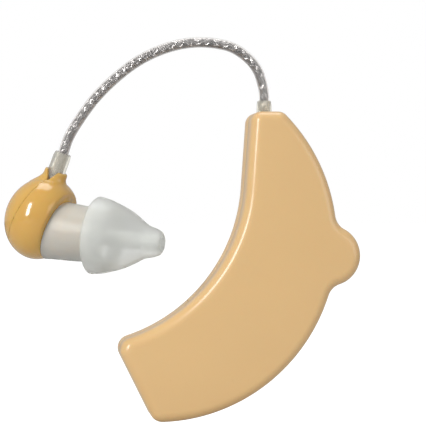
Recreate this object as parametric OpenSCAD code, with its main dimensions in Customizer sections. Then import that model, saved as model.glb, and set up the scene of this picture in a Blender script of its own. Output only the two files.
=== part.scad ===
// Behind the ear sound amplifier: a flat crescent case that hangs behind the ear, a braided lead in a
// clear jacket that arches over the ear, and an earpiece with a soft flanged ear tip.
// X is to the right, Y goes away from the viewer, Z is up. The origin is the underside of the lead's
// crown, the place that rests on top of the ear.

/* [Case] */
// Thickness of the case, front face to rear face
case_thick = 9; // [8.8:0.1:10.4]
// Wall of both half shells
wall = 1.1; // [0.9:0.05:1.2]
// Rounding of the outer edges
edge_r = 1.8; // [1.4:0.1:1.8]
// Radius of the concave edge that lies against the ear
inner_r = 28.95; // [27.5:0.05:29.5]
// Height of the centre of the concave edge
inner_z = -22; // [-23:0.1:-21.5]
// Radius of the convex edge
outer_r = 30.63; // [30.2:0.01:31.6]
// Height of the centre of the convex edge
outer_z = -33.26; // [-34:0.01:-33]
// Lean of the straight part of the concave edge, below the neck
lean = 4; // [2:0.5:6]
// Height of the case's top end
top_z = -11; // [-11.5:0.1:-10.6]
// Width of the case at its top end
neck_w = 5.4; // [5.3:0.05:5.8]
// Rounding of the two corners at the top end
top_corner_r = 1.9; // [1.85:0.05:2.2]
// Direction that the bottom end faces, turned from +X
end_angle = 206.4; // [204:0.2:210]
// Distance of the bottom end from the centre of the convex edge
end_reach = 14.62; // [13.6:0.02:15.4]
// Rounding of the two corners at the bottom end
end_corner_r = 2.2; // [1.9:0.1:3]

/* [Volume wheel] */
// Radius of the half round lobe that backs the wheel
lobe_r = 5.2; // [5:0.05:5.8]
// Place of the lobe along the convex edge, turned from +X
lobe_angle = -5; // [-12:0.5:2]
// How far the lobe's centre lies inside the convex edge
lobe_sink = 0.97; // [0.6:0.01:1.4]
// Rounding where the lobe meets the convex edge
blend_r = 3; // [2:0.1:4]
// Radius of the wheel
wheel_r = 4.9; // [4.4:0.05:4.95]
// Number of grip teeth on the wheel's rim
wheel_teeth = 36; // [24:1:44]
// Depth of the grip teeth
tooth_deep = 0.35; // [0.2:0.05:0.5]
// Radius of the control's shaft
shaft_r = 1; // [0.9:0.05:1.2]
// Radial running fit of the wheel on its shaft
wheel_fit = 0.05; // [0.03:0.01:0.09]
// Radius of the control's round body
pot_r = 3.4; // [3:0.1:3.6]

/* [Battery] */
// Radius of the button cell
cell_r = 5.8; // [5.6:0.05:5.9]
// Thickness of the button cell
cell_thick = 5.4; // [5:0.1:5.5]
// Room around the cell in its bay
cell_gap = 0.45; // [0.3:0.05:0.6]
// Length of the sliding battery door, from the bottom end
door_len = 14.6; // [14.4:0.1:15.4]
// Number of finger grooves on the door
groove_count = 4; // [2:1:5]

/* [Circuit] */
// Thickness of the circuit board
board_thick = 0.8; // [0.6:0.1:1]
// Height of the board above the case's inner floor
board_lift = 0.8; // [0.6:0.1:1]
// Radius of the microphone capsule
mic_r = 2; // [1.8:0.05:2.2]
// Thickness of the microphone capsule
mic_thick = 1.5; // [1.2:0.1:1.8]
// Radius of the sound port in the rear shell
port_r = 0.6; // [0.4:0.05:0.8]

/* [Lead] */
// Place of the lead where it leaves the case
lead_x = 11.25; // [11.1:0.05:11.4]
// Radius of the clear jacket
jacket_r = 0.9; // [0.86:0.01:0.94]
// Wall of the clear jacket
jacket_wall = 0.12; // [0.1:0.01:0.13]
// Wall of the metal braid
braid_wall = 0.24; // [0.2:0.01:0.26]
// Radius of each wire inside the braid
wire_r = 0.2; // [0.16:0.01:0.22]
// Radius of the clear sleeve at the earpiece
sleeve_r = 1.5; // [1.4:0.05:1.55]
// Radius of the clear sleeve at the case
case_sleeve_r = 1.3; // [1.25:0.05:1.35]

/* [Earpiece] */
// Greatest radius of the round body
bulb_r = 7.15; // [7:0.05:7.5]
// Distance from the body's middle to its closed back
cap_reach = 6.2; // [6:0.1:6.8]
// Distance from the body's middle to the face that the ear tip meets
face_reach = 3.1; // [2.9:0.05:3.3]
// Wall of the body
bulb_wall = 1; // [0.9:0.05:1.1]
// Radius of the neck round the lead's sleeve
neck_r = 2.25; // [2.2:0.05:2.6]
// Top of the neck's cap side tab, above the body's axis
neck_top = 8.5; // [8.2:0.1:9]
// Radius of the receiver capsule
receiver_r = 4; // [3.6:0.1:4.2]
// Thickness of the receiver capsule
receiver_thick = 3.2; // [2.8:0.1:3.4]

/* [Ear tip] */
// Tilt of the ear tip's axis against the body's axis
tip_tilt = 15.5; // [12:0.5:17]
// Length from the body's seat to the end of the nozzle
tip_len = 19.65; // [19.2:0.05:20.4]
// Radius of the umbrella flange
flange_r = 6.55; // [6.4:0.05:7]
// Radius of the soft sleeve at the body
rim_r = 5.05; // [5:0.05:5.5]
// Radius of the snout at the body
snout_r = 4.45; // [4.3:0.05:4.5]
// Length of the snout
snout_len = 7.4; // [7:0.1:7.6]
// Radius of the sound bore through the ear tip
bore_r = 1.25; // [1:0.05:1.4]
// Room between the snout and the soft sleeve
tip_gap = 0.08; // [0.05:0.01:0.12]

/* [Hidden] */
$fn = 48;

half = case_thick / 2;      // each half shell's depth
past = 0.2;                 // how far a cut runs past what it cuts, and a boss sinks into its floor
far = 80;                   // size of a block that trims a whole half away
seam_gap = 0.1;             // the door's gap to the shells
lip_high = 0.6;             // locating lip inside the front shell's rim
lip_thick = 0.45;
lip_gap = 0.1;
floor_y = wall - half;      // the front shell's inner floor
board_y = floor_y + board_lift;
board_top = board_y + board_thick;
board_gap = 0.4;            // board's edge to the walls
edge_turns = [0, 30, 60, 90];
inner_turns = [0, 45, 90];
inner_edge_r = edge_r - wall;
rear_floor = half - wall;
step_y = lip_high + lip_gap;
step_inset = wall - lip_thick - lip_gap;
sleeve_fit = 0.05;
hole_room = 0.1;            // the lead's hole round the sleeve at the case
cell_wall_gap = wall + cell_gap;

// Centres of the two long edges, from the neck's place and width
inner_a = [lead_x - neck_w / 2 - (top_z - inner_z + inner_r * sin(lean)) * tan(lean)
           - inner_r * cos(lean), inner_z];
outer_b = [lead_x + neck_w / 2 - sqrt(pow(outer_r, 2) - pow(top_z - outer_z, 2)), outer_z];
end_n = polar(end_angle);          // faces out of the bottom end
end_m = polar(end_angle + 90);     // runs along the bottom end, to the convex edge
lobe_at = outer_b + (outer_r - lobe_sink) * polar(lobe_angle);

function polar(a) = [cos(a), sin(a)];
function unit(v) = v / norm(v);
function heading(v) = atan2(v.y, v.x);

// Point of the case on a ray from the concave edge's centre: share 0 is the concave edge, 1 the convex
function in_case(a, share) =
    let (d = polar(a), w = inner_a - outer_b, b = d * w,
         reach = sqrt(pow(b, 2) - w * w + pow(outer_r, 2)) - b)
    inner_a + d * (inner_r + (reach - inner_r) * share);

// Where the two long edges lie along a line across the case, at a distance from the bottom end
function edges(s) =
    let (h = end_reach - s)
    [sqrt(pow(inner_r, 2) - pow(h - (inner_a - outer_b) * end_n, 2)) + (inner_a - outer_b) * end_m,
     sqrt(pow(outer_r, 2) - pow(h, 2))];
function half_width(s) = (edges(s)[1] - edges(s)[0]) / 2;

// Point on that line: a step from its middle, or a share of the way from the concave to the convex edge
function from_end(s, side) =
    outer_b + end_n * (end_reach - s) + end_m * ((edges(s)[0] + edges(s)[1]) / 2 + side);
function across(s, share) = from_end(s, (2 * share - 1) * half_width(s));

// Centres of the four corner roundings
end_h = end_reach - end_corner_r;
corner_outer = outer_b + end_n * end_h
               + end_m * sqrt(pow(outer_r - end_corner_r, 2) - pow(end_h, 2));
inner_h = end_h - (inner_a - outer_b) * end_n;
corner_inner = inner_a + end_n * inner_h
               + end_m * sqrt(pow(inner_r + end_corner_r, 2) - pow(inner_h, 2));
top_outer = [outer_b.x + sqrt(pow(outer_r - top_corner_r, 2)
             - pow(top_z - top_corner_r - outer_b.y, 2)), top_z - top_corner_r];
lean_start = inner_a + inner_r * polar(-lean);
lean_run = (top_z - top_corner_r - lean_start.y + top_corner_r * sin(lean)) / cos(lean);
top_inner = lean_start + top_corner_r * polar(-lean) + lean_run * [sin(lean), cos(lean)];

// Centres of the roundings beside the lobe
blend_turn = acos((pow(outer_r - lobe_sink, 2) + pow(outer_r + blend_r, 2) - pow(lobe_r + blend_r, 2))
                  / (2 * (outer_r - lobe_sink) * (outer_r + blend_r)));
blend_low = outer_b + (outer_r + blend_r) * polar(lobe_angle - blend_turn);
blend_high = outer_b + (outer_r + blend_r) * polar(lobe_angle + blend_turn);

// Where a line across the case, at a distance from the bottom end, meets the two long edges
function meet_outer(s, inset) =
    let (h = end_reach - s) end_n * h + end_m * sqrt(pow(outer_r - inset, 2) - pow(h, 2));
function meet_inner(s, inset) =
    let (h = end_reach - s - (inner_a - outer_b) * end_n)
    end_n * h + end_m * sqrt(pow(inner_r + inset, 2) - pow(h, 2));

// Points along an arc, without its last where the next arc runs on smoothly from it
function arc(c, r, from, to, steps, smooth = true) =
    [for (k = [0 : steps - (smooth ? 1 : 0)]) c + r * polar(from + (to - from) * k / steps)];

// The outline in three runs: the bottom end's corners, the convex edge and the top with the concave edge
low_angle = heading(corner_outer - outer_b);
high_angle = heading(top_outer - outer_b);
inner_angle = heading(corner_inner - inner_a);
function inner_corner(inset) =
    arc(corner_inner, end_corner_r - inset, inner_angle + 180, end_angle, 4, false);
function outer_corner(inset) =
    arc(corner_outer, end_corner_r - inset, end_angle, full_turn(low_angle), 4);
function bottom_run(inset) = concat(inner_corner(inset), outer_corner(inset));
top_steps = 5;
function top_run(inset) =
    concat(arc(top_outer, top_corner_r - inset, high_angle, 90, top_steps, false),
           [for (k = [1 : 3]) [top_outer.x + (top_inner.x - top_outer.x) * k / 4, top_z - inset]],
           arc(top_inner, top_corner_r - inset, 90, 180 - lean, top_steps, false));
top_end = len(top_run(0)) - top_steps - 1;  // the last point of the top's flat
function convex(inset, from, to, steps, smooth = true) =
    arc(outer_b, outer_r - inset, from, to, steps, smooth);
function lobe_run(inset) = concat(
    arc(blend_low, blend_r + inset, lobe_angle - blend_turn + 180, heading(lobe_at - blend_low), 3),
    arc(lobe_at, lobe_r - inset, heading(blend_low - lobe_at), heading(blend_high - lobe_at), 10),
    arc(blend_high, blend_r + inset, full_turn(heading(lobe_at - blend_high)),
        lobe_angle + blend_turn + 180, 3));

// Rings at depth y. Along the lobe the lip is left out, and the lead's hole dips into the rim
function hole_dip(p, r) =
    p.y > top_z - wall - edge_r && abs(p.x - lead_x) < r ? sqrt(pow(r, 2) - pow(p.x - lead_x, 2)) : 0;
function at_depth(pts, y) = [for (p = pts) [p.x, y, p.y]];
function rim(pts, y, side) = [for (p = pts) let (d = hole_dip(p, case_sleeve_r + hole_room))
    [p.x, d > 0 ? side * d : y, p.y]];
door_wall = 0.8;            // the door's wall at the parting line
rear_s = door_len + seam_gap / 2;
door_s = door_len - seam_gap / 2;
turn_step = 0.3;            // how sharply a lip or a slot ends
outer_low = heading(meet_outer(door_s - door_wall - lip_high, wall));
outer_up = heading(meet_outer(rear_s + wall + lip_high, wall));
inner_up = heading(meet_inner(rear_s + wall + lip_high, wall));
function low_run(inset) = convex(inset, low_angle, outer_low, 6, false);
function gap_run(inset) = convex(inset, outer_low + turn_step, outer_up - turn_step, 2, false);
function mid_run(inset) = convex(inset, outer_up, lobe_angle - blend_turn, 6);
function high_run(inset) = convex(inset, lobe_angle + blend_turn, high_angle, 8);
function back_run(inset) = arc(inner_a, inner_r + inset, -lean, inner_up, 9, false);
function bay_run(inset) = arc(inner_a, inner_r + inset, inner_up - turn_step, inner_angle, 8);
function full_outline(inset) = concat(bottom_run(inset), low_run(inset), gap_run(inset),
    mid_run(inset), lobe_run(inset), high_run(inset), top_run(inset), back_run(inset), bay_run(inset));
function front_rim(inset, lip) = concat(at_depth(inner_corner(inset), 0),
    at_depth(outer_corner(inset), lip), at_depth(low_run(inset), lip), at_depth(gap_run(inset), 0),
    at_depth(mid_run(inset), lip), at_depth(lobe_run(inset), 0), at_depth(high_run(inset), lip),
    rim(top_run(inset), lip, -1), at_depth(back_run(inset), lip), at_depth(bay_run(inset), 0));
function plain_outline(inset) = concat(bottom_run(inset), convex(inset, low_angle, high_angle, 30),
    top_run(inset), arc(inner_a, inner_r + inset, -lean, inner_angle, 20));

// The rear half is parted in two across the case: the rear shell above, the battery door below.
// The long edges are drawn in by inset, the parting line by parted
wheel_y = 0.25;             // the wheel's lower face above the parting plane
wheel_room = 0.2;           // free room round the wheel
slot_drop = 0.05;           // the slot's top edge below the rounding of the rear face
slot_y = half - edge_r - slot_drop;
wheel_thick = slot_y - wheel_room - wheel_y;
wheel_top = wheel_y + wheel_thick;
slot_turn = 2 * asin((wheel_r + wheel_room) / 2 / (outer_r - wall));
function rear_low(inset, parted) = convex(inset, heading(meet_outer(rear_s + parted, inset)),
    lobe_angle - slot_turn - turn_step, 5, false);
function rear_slot(inset) = convex(inset, lobe_angle - slot_turn, lobe_angle + slot_turn, 5, false);
function rear_high(inset) = convex(inset, lobe_angle + slot_turn + turn_step, high_angle, 9);
function rear_inner(inset, parted) =
    arc(inner_a, inner_r + inset, -lean, heading(meet_inner(rear_s + parted, inset)), 12, false);
function rear_rim(inset, parted, y) = concat(at_depth(rear_low(inset, parted), y),
    at_depth(rear_slot(inset), slot_y), at_depth(rear_high(inset), y), rim(top_run(inset), y, 1),
    at_depth(rear_inner(inset, parted), y));
function rear_ring(inset, parted, y) = at_depth(concat(rear_low(inset, parted), rear_slot(inset),
    rear_high(inset), top_run(inset), rear_inner(inset, parted)), y);
door_steps = 6;
function door_ring(inset, parted, y) = at_depth(concat(bottom_run(inset),
    convex(inset, low_angle, heading(meet_outer(door_s - parted, inset)), door_steps, false),
    arc(inner_a, inner_r + inset, heading(meet_inner(door_s - parted, inset)), inner_angle,
        door_steps)), y);
function full_turn(a) = a < 0 ? a + 360 : a;

// Strips across a ring: its points run up one side as far as the turn, and back down the other
function strips(count, turn) =
    let (back = count - 1 - turn)
    [for (k = [0 : turn - 1])
        let (m = floor(k * (back - 1) / turn), n = floor((k + 1) * (back - 1) / turn))
        concat([k, k + 1], [for (i = [n : -1 : m]) count - 1 - i])];
function backwards(face) = [for (j = [len(face) - 1 : -1 : 0]) face[j]];

// Closed solid through rings of equal count: capped at both ends, or joined end to end
module skin(rings, looped = false, turn = 0) {
    count = len(rings[0]);
    last = len(rings) - 1;
    side = [for (i = [0 : last - (looped ? 0 : 1)], j = [0 : count - 1])
        let (k = (j + 1) % count, n = (i + 1) % (last + 1))
        [i * count + j, i * count + k, n * count + k, n * count + j]];
    cap = turn > 0 ? strips(count, turn) : [[for (j = [0 : count - 1]) j]];
    caps = concat([for (face = cap) backwards(face)],
                  [for (face = cap) [for (j = face) last * count + j]]);
    polyhedron([for (r = rings) each r], looped ? side : concat(side, caps), convexity = 8);
}

// Flat shape drawn in X and Z, given its depth from y0 to y1
module slab(y0, y1) {
    translate([0, y1, 0]) rotate([90, 0, 0]) linear_extrude(y1 - y0) children();
}
module rod(at, r, y0, y1) {
    slab(y0, y1) translate(at) circle(r);
}
// Block in the frame of the bottom end: s is measured in from the end, side across it
module end_block(s0, s1, side0, side1, y0, y1, at_s) {
    middle = from_end(at_s, 0);
    translate([middle.x, 0, middle.y]) rotate([0, -end_angle, 0])
        translate([at_s - s1, y0, side0])
            cube([s1 - s0, y1 - y0, side1 - side0]);
}

// Front shell: one moulding with the lobe, a locating lip, three posts and the cell's bay
top_post_turn = -8;         // about the concave edge's centre
top_post_share = 0.62;
post_s = [23.2, 18.8];      // the two lower posts' distances from the bottom end
post_shares = [0.2, 0.78];
post_r = 1.25;
post_bore_r = 0.7;
post_top = -0.15;
pin_r = 0.62;
pin_tip = 2.1;              // how far the rear shell's pins reach into the posts
post_places = [in_case(top_post_turn, top_post_share), across(post_s[0], post_shares[0]),
               across(post_s[1], post_shares[1])];

rib_gap_share = 0.6;        // of the cell's room, kept beside the rib
bay_rib_s = cell_wall_gap + 2 * cell_r + rib_gap_share * cell_gap;
bay_rib_thick = 0.6;
bay_rib_half = 5.5;
strip_w = 3;
strip_thick = 0.2;
foot_lift = 0.1;

front_turn = len(concat(bottom_run(0), low_run(0), gap_run(0), mid_run(0), lobe_run(0),
                        high_run(0))) + top_end;
module front_body() {
    skin(concat(
        [for (q = edge_turns)
            at_depth(full_outline(edge_r * (1 - sin(q))), edge_r * (1 - cos(q)) - half)],
        [front_rim(0, 0), front_rim(wall - lip_thick, 0), front_rim(wall - lip_thick, lip_high),
         front_rim(wall, lip_high)],
        [for (q = inner_turns)
            at_depth(full_outline(wall + inner_edge_r * (1 - cos(q))),
                     floor_y + inner_edge_r * (1 - sin(q)))]), turn = front_turn);
}

module front_shell() color("#e3bd8c") {
    difference() {
        union() {
            front_body();
            for (place = post_places)
                rod(place, post_r, floor_y - past, post_top);
            end_block(bay_rib_s, bay_rib_s + bay_rib_thick, -bay_rib_half, bay_rib_half,
                      floor_y - past, board_top - foot_lift, bay_rib_s);
        }
        for (place = post_places)
            rod(place, post_bore_r, floor_y + past, post_top + past);
        end_block(bay_rib_s - past, bay_rib_s + bay_rib_thick + past, -strip_w / 2 - past,
                  strip_w / 2 + past, floor_y, floor_y + strip_thick + past, bay_rib_s);
    }
}

// Rear shell: its wall is open beside the wheel, and a bulkhead closes it towards the battery bay
rear_turn = len(concat(rear_low(0, 0), rear_slot(0), rear_high(0))) + top_end;
module rear_body() {
    skin(concat(
        [for (q = inner_turns)
            rear_ring(wall + inner_edge_r * (1 - sin(q)), wall, rear_floor - inner_edge_r * (1 - cos(q)))],
        [rear_rim(wall, wall, step_y), rear_rim(step_inset, wall, step_y),
         rear_rim(step_inset, wall, 0), rear_rim(0, 0, 0)],
        [for (q = edge_turns)
            rear_ring(edge_r * (1 - cos(q)), 0, half - edge_r * (1 - sin(q)))]), turn = rear_turn);
}

mic_turn = 1;
mic_share = 0.5;
mic_at = in_case(mic_turn, mic_share);
boot_wall = 0.5;
boot_fit = 0.05;
boot_high = 1.9;

module rear_shell() color("#ddb684") {
    difference() {
        union() {
            rear_body();
            for (place = post_places)
                rod(place, pin_r, -pin_tip, rear_floor + past);
        }
        rod(mic_at, port_r, rear_floor - past, half + past);
    }
}

// Sliding battery door: the bottom end of the rear half, a tray with finger grooves
groove_w = 0.7;
groove_half = 3.6;
groove_deep = 0.35;
groove_pitch = 1.5;
groove_first = 3.2;
mouth_step = 0.05;          // the door's open inner end stops this short of its walls
door_turn = len(bottom_run(0)) + door_steps;
module battery_door() color("#ddb684") {
    difference() {
        skin(concat(
            [for (q = inner_turns)
                door_ring(wall + inner_edge_r * (1 - sin(q)), door_wall,
                          rear_floor - inner_edge_r * (1 - cos(q)))],
            [door_ring(wall, door_wall, step_y), door_ring(step_inset, door_wall, step_y),
             door_ring(step_inset, door_wall, seam_gap), door_ring(0, 0, seam_gap)],
            [for (q = edge_turns)
                door_ring(edge_r * (1 - cos(q)), 0, half - edge_r * (1 - sin(q)))]), turn = door_turn);
        end_block(door_s - 2 * door_wall, door_s + past, mouth_step + wall - half_width(door_s),
                  half_width(door_s) - step_inset, -past, rear_floor - inner_edge_r - mouth_step, door_s);
        for (k = [0 : groove_count - 1])
            end_block(groove_first + k * groove_pitch, groove_first + k * groove_pitch + groove_w,
                      -groove_half, groove_half, half - groove_deep, half + past, groove_first);
    }
}

// Button cell, flat in its bay under the door
cell_at = from_end(cell_wall_gap + cell_r, 0);
cell_y = floor_y + strip_thick + foot_lift;
cell_step = 0.5;            // the can's rolled edge round its smaller negative face
cell_edge = 0.9;
module button_cell() color("#c9ccd0") {
    rod(cell_at, cell_r, cell_y + cell_step, cell_y + cell_thick);
    rod(cell_at, cell_r - cell_edge, cell_y, cell_y + cell_step);
}

// Spring strip under the cell, with a tab up to the board
strip_tail = 1.2;
strip_tab = 0.3;
board_s = bay_rib_s + bay_rib_thick + board_gap;
module battery_minus_contact() color("#d8c078") {
    strip_end = board_s + strip_tail;
    end_block(cell_wall_gap + cell_r, strip_end, -strip_w / 2, strip_w / 2, floor_y,
              floor_y + strip_thick, bay_rib_s);
    end_block(strip_end - strip_tab, strip_end, -strip_w / 2, strip_w / 2, floor_y, board_y,
              bay_rib_s);
}

// Leaf at the cell's side, with a foot over the bay's rib onto the board
leaf_thick = 0.15;
leaf_gap = 0.05;
leaf_half = 2;
leaf_up = 1.5;
module battery_plus_contact() color("#d8c078") {
    leaf_s = cell_wall_gap + 2 * cell_r + leaf_gap;
    end_block(leaf_s, leaf_s + leaf_thick, -leaf_half, leaf_half, board_top - strip_thick,
              board_top + leaf_up, bay_rib_s);
    end_block(leaf_s, board_s + strip_tail, -leaf_half, leaf_half, board_top,
              board_top + strip_thick, bay_rib_s);
}

// Circuit board in the shape of the case, with an ear in the lobe for the volume control
board_head = 3.2;           // the board stops short of the neck
module circuit_board() color("#2f6b45") {
    difference() {
        slab(board_y, board_top) difference() {
            union() {
                polygon(plain_outline(wall + board_gap));
                translate(lobe_at) circle(pot_r + board_gap / 2);
            }
            translate([-far, top_z - wall - board_head]) square([2 * far, far]);
            for (place = post_places)
                translate(place) circle(post_r + board_gap / 2);
        }
        end_block(-far, board_s, -far, far, -far, far, bay_rib_s);
    }
}

chip_s = 18.4;
chip_share = 0.46;
chip_turn = 46;
chip_w = 5;
chip_l = 4.4;
chip_high = 1.5;
module amplifier_chip() color("#26272a") {
    slab(board_top, board_top + chip_high) translate(across(chip_s, chip_share))
        rotate(-chip_turn) square([chip_w, chip_l], center = true);
}

cap_s = [32.4, 25.7];
cap_shares = [0.62, 0.54];
cap_r = 1.9;
cap_high = 3.6;
module board_capacitors() color("#3a4a6e") {
    for (k = [0, 1])
        rod(across(cap_s[k], cap_shares[k]), cap_r, board_top, board_top + cap_high);
}

resistor_s = [32.2, 30.4, 28.4, 24.2, 21.6, 16.2];
resistor_shares = [0.33, 0.3, 0.27, 0.8, 0.84, 0.2];
resistor_turns = [-16, -20, -24, -41, -45, -52];
resistor = [1.6, 0.8];
resistor_high = 0.5;
module board_resistors() color("#20242a") {
    for (k = [0 : len(resistor_s) - 1])
        slab(board_top, board_top + resistor_high) translate(across(resistor_s[k], resistor_shares[k]))
            rotate(resistor_turns[k]) square(resistor, center = true);
}

// Microphone behind the sound port, in a rubber boot, with two pins down to the board
boot_floor = 0.25;
module microphone_capsule() color("#c4c7ca") {
    rod(mic_at, mic_r, rear_floor - boot_floor - mic_thick, rear_floor - boot_floor);
}
module microphone_boot() color("#3b3b3d") {
    difference() {
        rod(mic_at, mic_r + boot_wall, rear_floor - boot_high, rear_floor);
        rod(mic_at, mic_r + boot_fit, -far, rear_floor - boot_floor);
        rod(mic_at, port_r, -far, far);
    }
}
mic_pin_r = 0.25;
mic_pin_step = 0.9;
module microphone_pins() color("#c9a24a") {
    for (side = [-1, 1])
        rod(mic_at + [side * mic_pin_step, 0], mic_pin_r, board_top,
            rear_floor - boot_floor - mic_thick);
}

// Volume control: round body on the board's ear, shaft, toothed wheel and its screw
screw_r = 0.5;
screw_head_r = 1.5;
screw_head = 0.55;
head_room = 0.1;
shaft_top = wheel_top - screw_head;
screw_slot = 0.3;
screw_deep = 1.2;
module volume_pot() color("#4a4d52") {
    difference() {
        union() {
            rod(lobe_at, pot_r, board_top, wheel_y - wheel_room);
            rod(lobe_at, shaft_r, board_top, shaft_top);
        }
        rod(lobe_at, screw_r + wheel_fit, shaft_top - screw_deep - past, shaft_top + past);
    }
}
tooth_shares = [0, 0.5];    // of a tooth's pitch: the crest, then the gap beside it
gap_shares = [0.62, 0.88];
module volume_wheel() color("#d6ae7c") {
    step = 360 / wheel_teeth;
    difference() {
        slab(wheel_y, wheel_top) translate(lobe_at)
            polygon([for (k = [0 : wheel_teeth - 1]) each [
                for (s = tooth_shares) wheel_r * polar((k + s) * step),
                for (s = gap_shares) (wheel_r - tooth_deep) * polar((k + s) * step)]]);
        rod(lobe_at, shaft_r + wheel_fit, -far, far);
        rod(lobe_at, screw_head_r + wheel_room, shaft_top - head_room, far);
    }
}
module wheel_screw() color("#b9bcc0") {
    difference() {
        union() {
            rod(lobe_at, screw_head_r, shaft_top, wheel_top);
            rod(lobe_at, screw_r, shaft_top - screw_deep, shaft_top);
        }
        slab(wheel_top - screw_head / 2, wheel_top + past) translate(lobe_at)
            square([far, screw_slot], center = true);
    }
}

// Earpiece frame: x is the body's axis towards the ear, z the neck
ear_at = [-29.23, 2.8, -28.32];
ear_dip = 22;               // the axis dips by this
ear_turn = -26.6;           // and turns to the viewer by this
function to_row(p) =
    let (a = p.x * cos(ear_dip) + p.z * sin(ear_dip), h = p.z * cos(ear_dip) - p.x * sin(ear_dip))
    ear_at + [a * cos(ear_turn) - p.y * sin(ear_turn), a * sin(ear_turn) + p.y * cos(ear_turn), h];
module in_ear() {
    translate(ear_at) rotate([0, ear_dip, ear_turn]) children();
}
middle_x = 2.9;             // the body's widest place
neck_x = 2.25;              // the neck's axis
seam_tilt = 9;              // the seam runs from the neck's axis to the back of the body
sleeve_top = 11.7;
sleeve_foot = 4.6;
flange_thick = 0.6;
flange_over = 0.14;
case_flange_over = 0.2;
flange_room = 0.04;         // the case sleeve's flange to the rounded corners above it
seat_drop = 1;              // the ear tip's axis lies this far below the body's axis at tip_x
seat_x = middle_x + face_reach;
tip_x = 5.6;                // where lengths along the ear tip are measured from

// Route of the lead's middle line, from inside the case over the ear to inside the earpiece
route_hand = [[lead_x, 0, -14], [lead_x, 0, -12], [lead_x, 0, -10], [lead_x, 0, -8], [10.9, 0, -6],
              [10.1, 0, -3.7], [8.4, 0, -1.6], [5.8, 0, 0.1], [2.9, 0, 0.8], [-0.5, 0, 0.95],
              [-4.1, 0, 0.4], [-7.8, 0, -0.9], [-11.4, 0, -2.9], [-15, 0, -5.8], [-18.1, 0, -9],
              [-20.8, 0, -12.7], [-22.5, 0, -15.6]];
route_ear = [for (t = [11.7, 9.5, 7.3, 5.4]) to_row([neck_x, 0, t])];
route = concat(route_hand, route_ear);
route_parts = 2;            // steps between two points of the route
function bend(p, q, r, s, t) =
    (2 * q + (r - p) * t + (2 * p - 5 * q + 4 * r - s) * pow(t, 2)
     + (3 * q - p - 3 * r + s) * pow(t, 3)) / 2;
function smooth(pts) = [for (i = [0 : len(pts) - 2], k = [0 : route_parts - 1])
    bend(pts[max(i - 1, 0)], pts[i], pts[i + 1], pts[min(i + 2, len(pts) - 1)], k / route_parts),
    pts[len(pts) - 1]];
lead_line = smooth(route);
lead_sides = 10;

// Ring round a point of a line: the first direction stays close to Y, so the tube never twists
function tube_ring(pts, i, r, shift, sides) =
    let (t = unit(pts[min(i + 1, len(pts) - 1)] - pts[max(i - 1, 0)]),
         u = unit([0, 1, 0] - t.y * t), v = cross(t, u))
    [for (k = [0 : sides - 1]) let (a = 360 * k / sides)
        pts[i] + u * (r * cos(a) + shift) + v * r * sin(a)];
module pipe(pts, r, bore) {
    last = len(pts) - 1;
    skin(concat([for (i = [0 : last]) tube_ring(pts, i, r, 0, lead_sides)],
                [for (i = [last : -1 : 0]) tube_ring(pts, i, bore, 0, lead_sides)]), true);
}
module wire(pts, r, shift) {
    skin([for (i = [0 : len(pts) - 1]) tube_ring(pts, i, r, shift, 6)]);
}

braid_fit = 0.018;
braid_r = jacket_r - jacket_wall - braid_fit;
module lead_jacket() color("#dfe4e8") {
    pipe(lead_line, jacket_r, jacket_r - jacket_wall);
}
module lead_braid() color("#aeb2b6") {
    pipe(lead_line, braid_r, braid_r - braid_wall);
}
// Two wires, carried on past the braid to the board and to the receiver
wire_gap = 0.06;            // between the two wires
wire_shift = wire_r + wire_gap / 2;
module lead_wires() color("#b5523a") {
    line = smooth(concat([[lead_x + 1, board_top + wire_r, -18], [lead_x + 0.6, board_top + 1, -16.8],
                          [lead_x + 0.1, -0.5, -15.6]], route,
                         [to_row([1.6, 0, 4.6]), to_row([0.85, 0, 3.7]), to_row([0.85, 0, 2])]));
    for (side = [-1, 1]) wire(line, wire_r, side * wire_shift);
}

// Clear sleeves: a flanged tube at each end of the lead
module sleeve(r, over, foot, top) {
    rotate_extrude() polygon([[jacket_r + sleeve_fit, foot], [r + over, foot],
        [r + over, foot + flange_thick], [r, foot + flange_thick], [r, top - flange_thick],
        [r - flange_over, top], [jacket_r + sleeve_fit, top]]);
}
sleeve_out = 2;             // the case sleeve's length outside the case
module case_lead_sleeve() color("#e6e9e4") {
    inner_corner_r = top_corner_r - wall;
    flange_x = case_sleeve_r + case_flange_over + flange_room - (neck_w / 2 - top_corner_r);
    flange_z = top_z - top_corner_r + sqrt(pow(inner_corner_r, 2) - pow(flange_x, 2));
    translate([lead_x, 0, 0])
        sleeve(case_sleeve_r, case_flange_over, flange_z - flange_thick, top_z + sleeve_out);
}
module earpiece_sleeve() color("#e6e9e4") {
    in_ear() translate([neck_x, 0, 0]) sleeve(sleeve_r, flange_over, sleeve_foot, sleeve_top);
}

// Round body of the earpiece: two half ellipses about its widest place, cut flat at its face
bulb_steps = 12;
face_long = 5.6;            // reach of the front half ellipse, before the face cuts it
module bulb(inset) {
    translate([middle_x, 0, 0]) rotate([0, 90, 0]) rotate_extrude()
        polygon(concat([[0, face_reach - inset]],
            [for (k = [3 : -1 : 1]) let (z = (face_reach - inset) * k / 3)
                [(bulb_r - inset) * sqrt(1 - pow(z / (face_long - inset), 2)), z]],
            [for (k = [0 : bulb_steps]) let (a = 90 * k / bulb_steps)
                [(bulb_r - inset) * cos(a), -(cap_reach - inset) * sin(a)]]));
}
// Neck: a collar that flares into the body, each share [of neck_r, of its height over neck_base]
neck_shares = [[0.88, 1], [0.9, 0.79], [1.04, 0.68], [1.22, 0.58], [1.42, 0.49], [1.65, 0.37],
               [1.82, 0.22], [1.9, 0]];
neck_base = 3.4;
module neck() {
    translate([neck_x, 0, 0]) rotate_extrude()
        polygon(concat([[0, neck_base], [0, neck_top]], [for (p = neck_shares)
            [neck_r * p[0], neck_base + (neck_top - neck_base) * p[1]]]));
}
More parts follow.
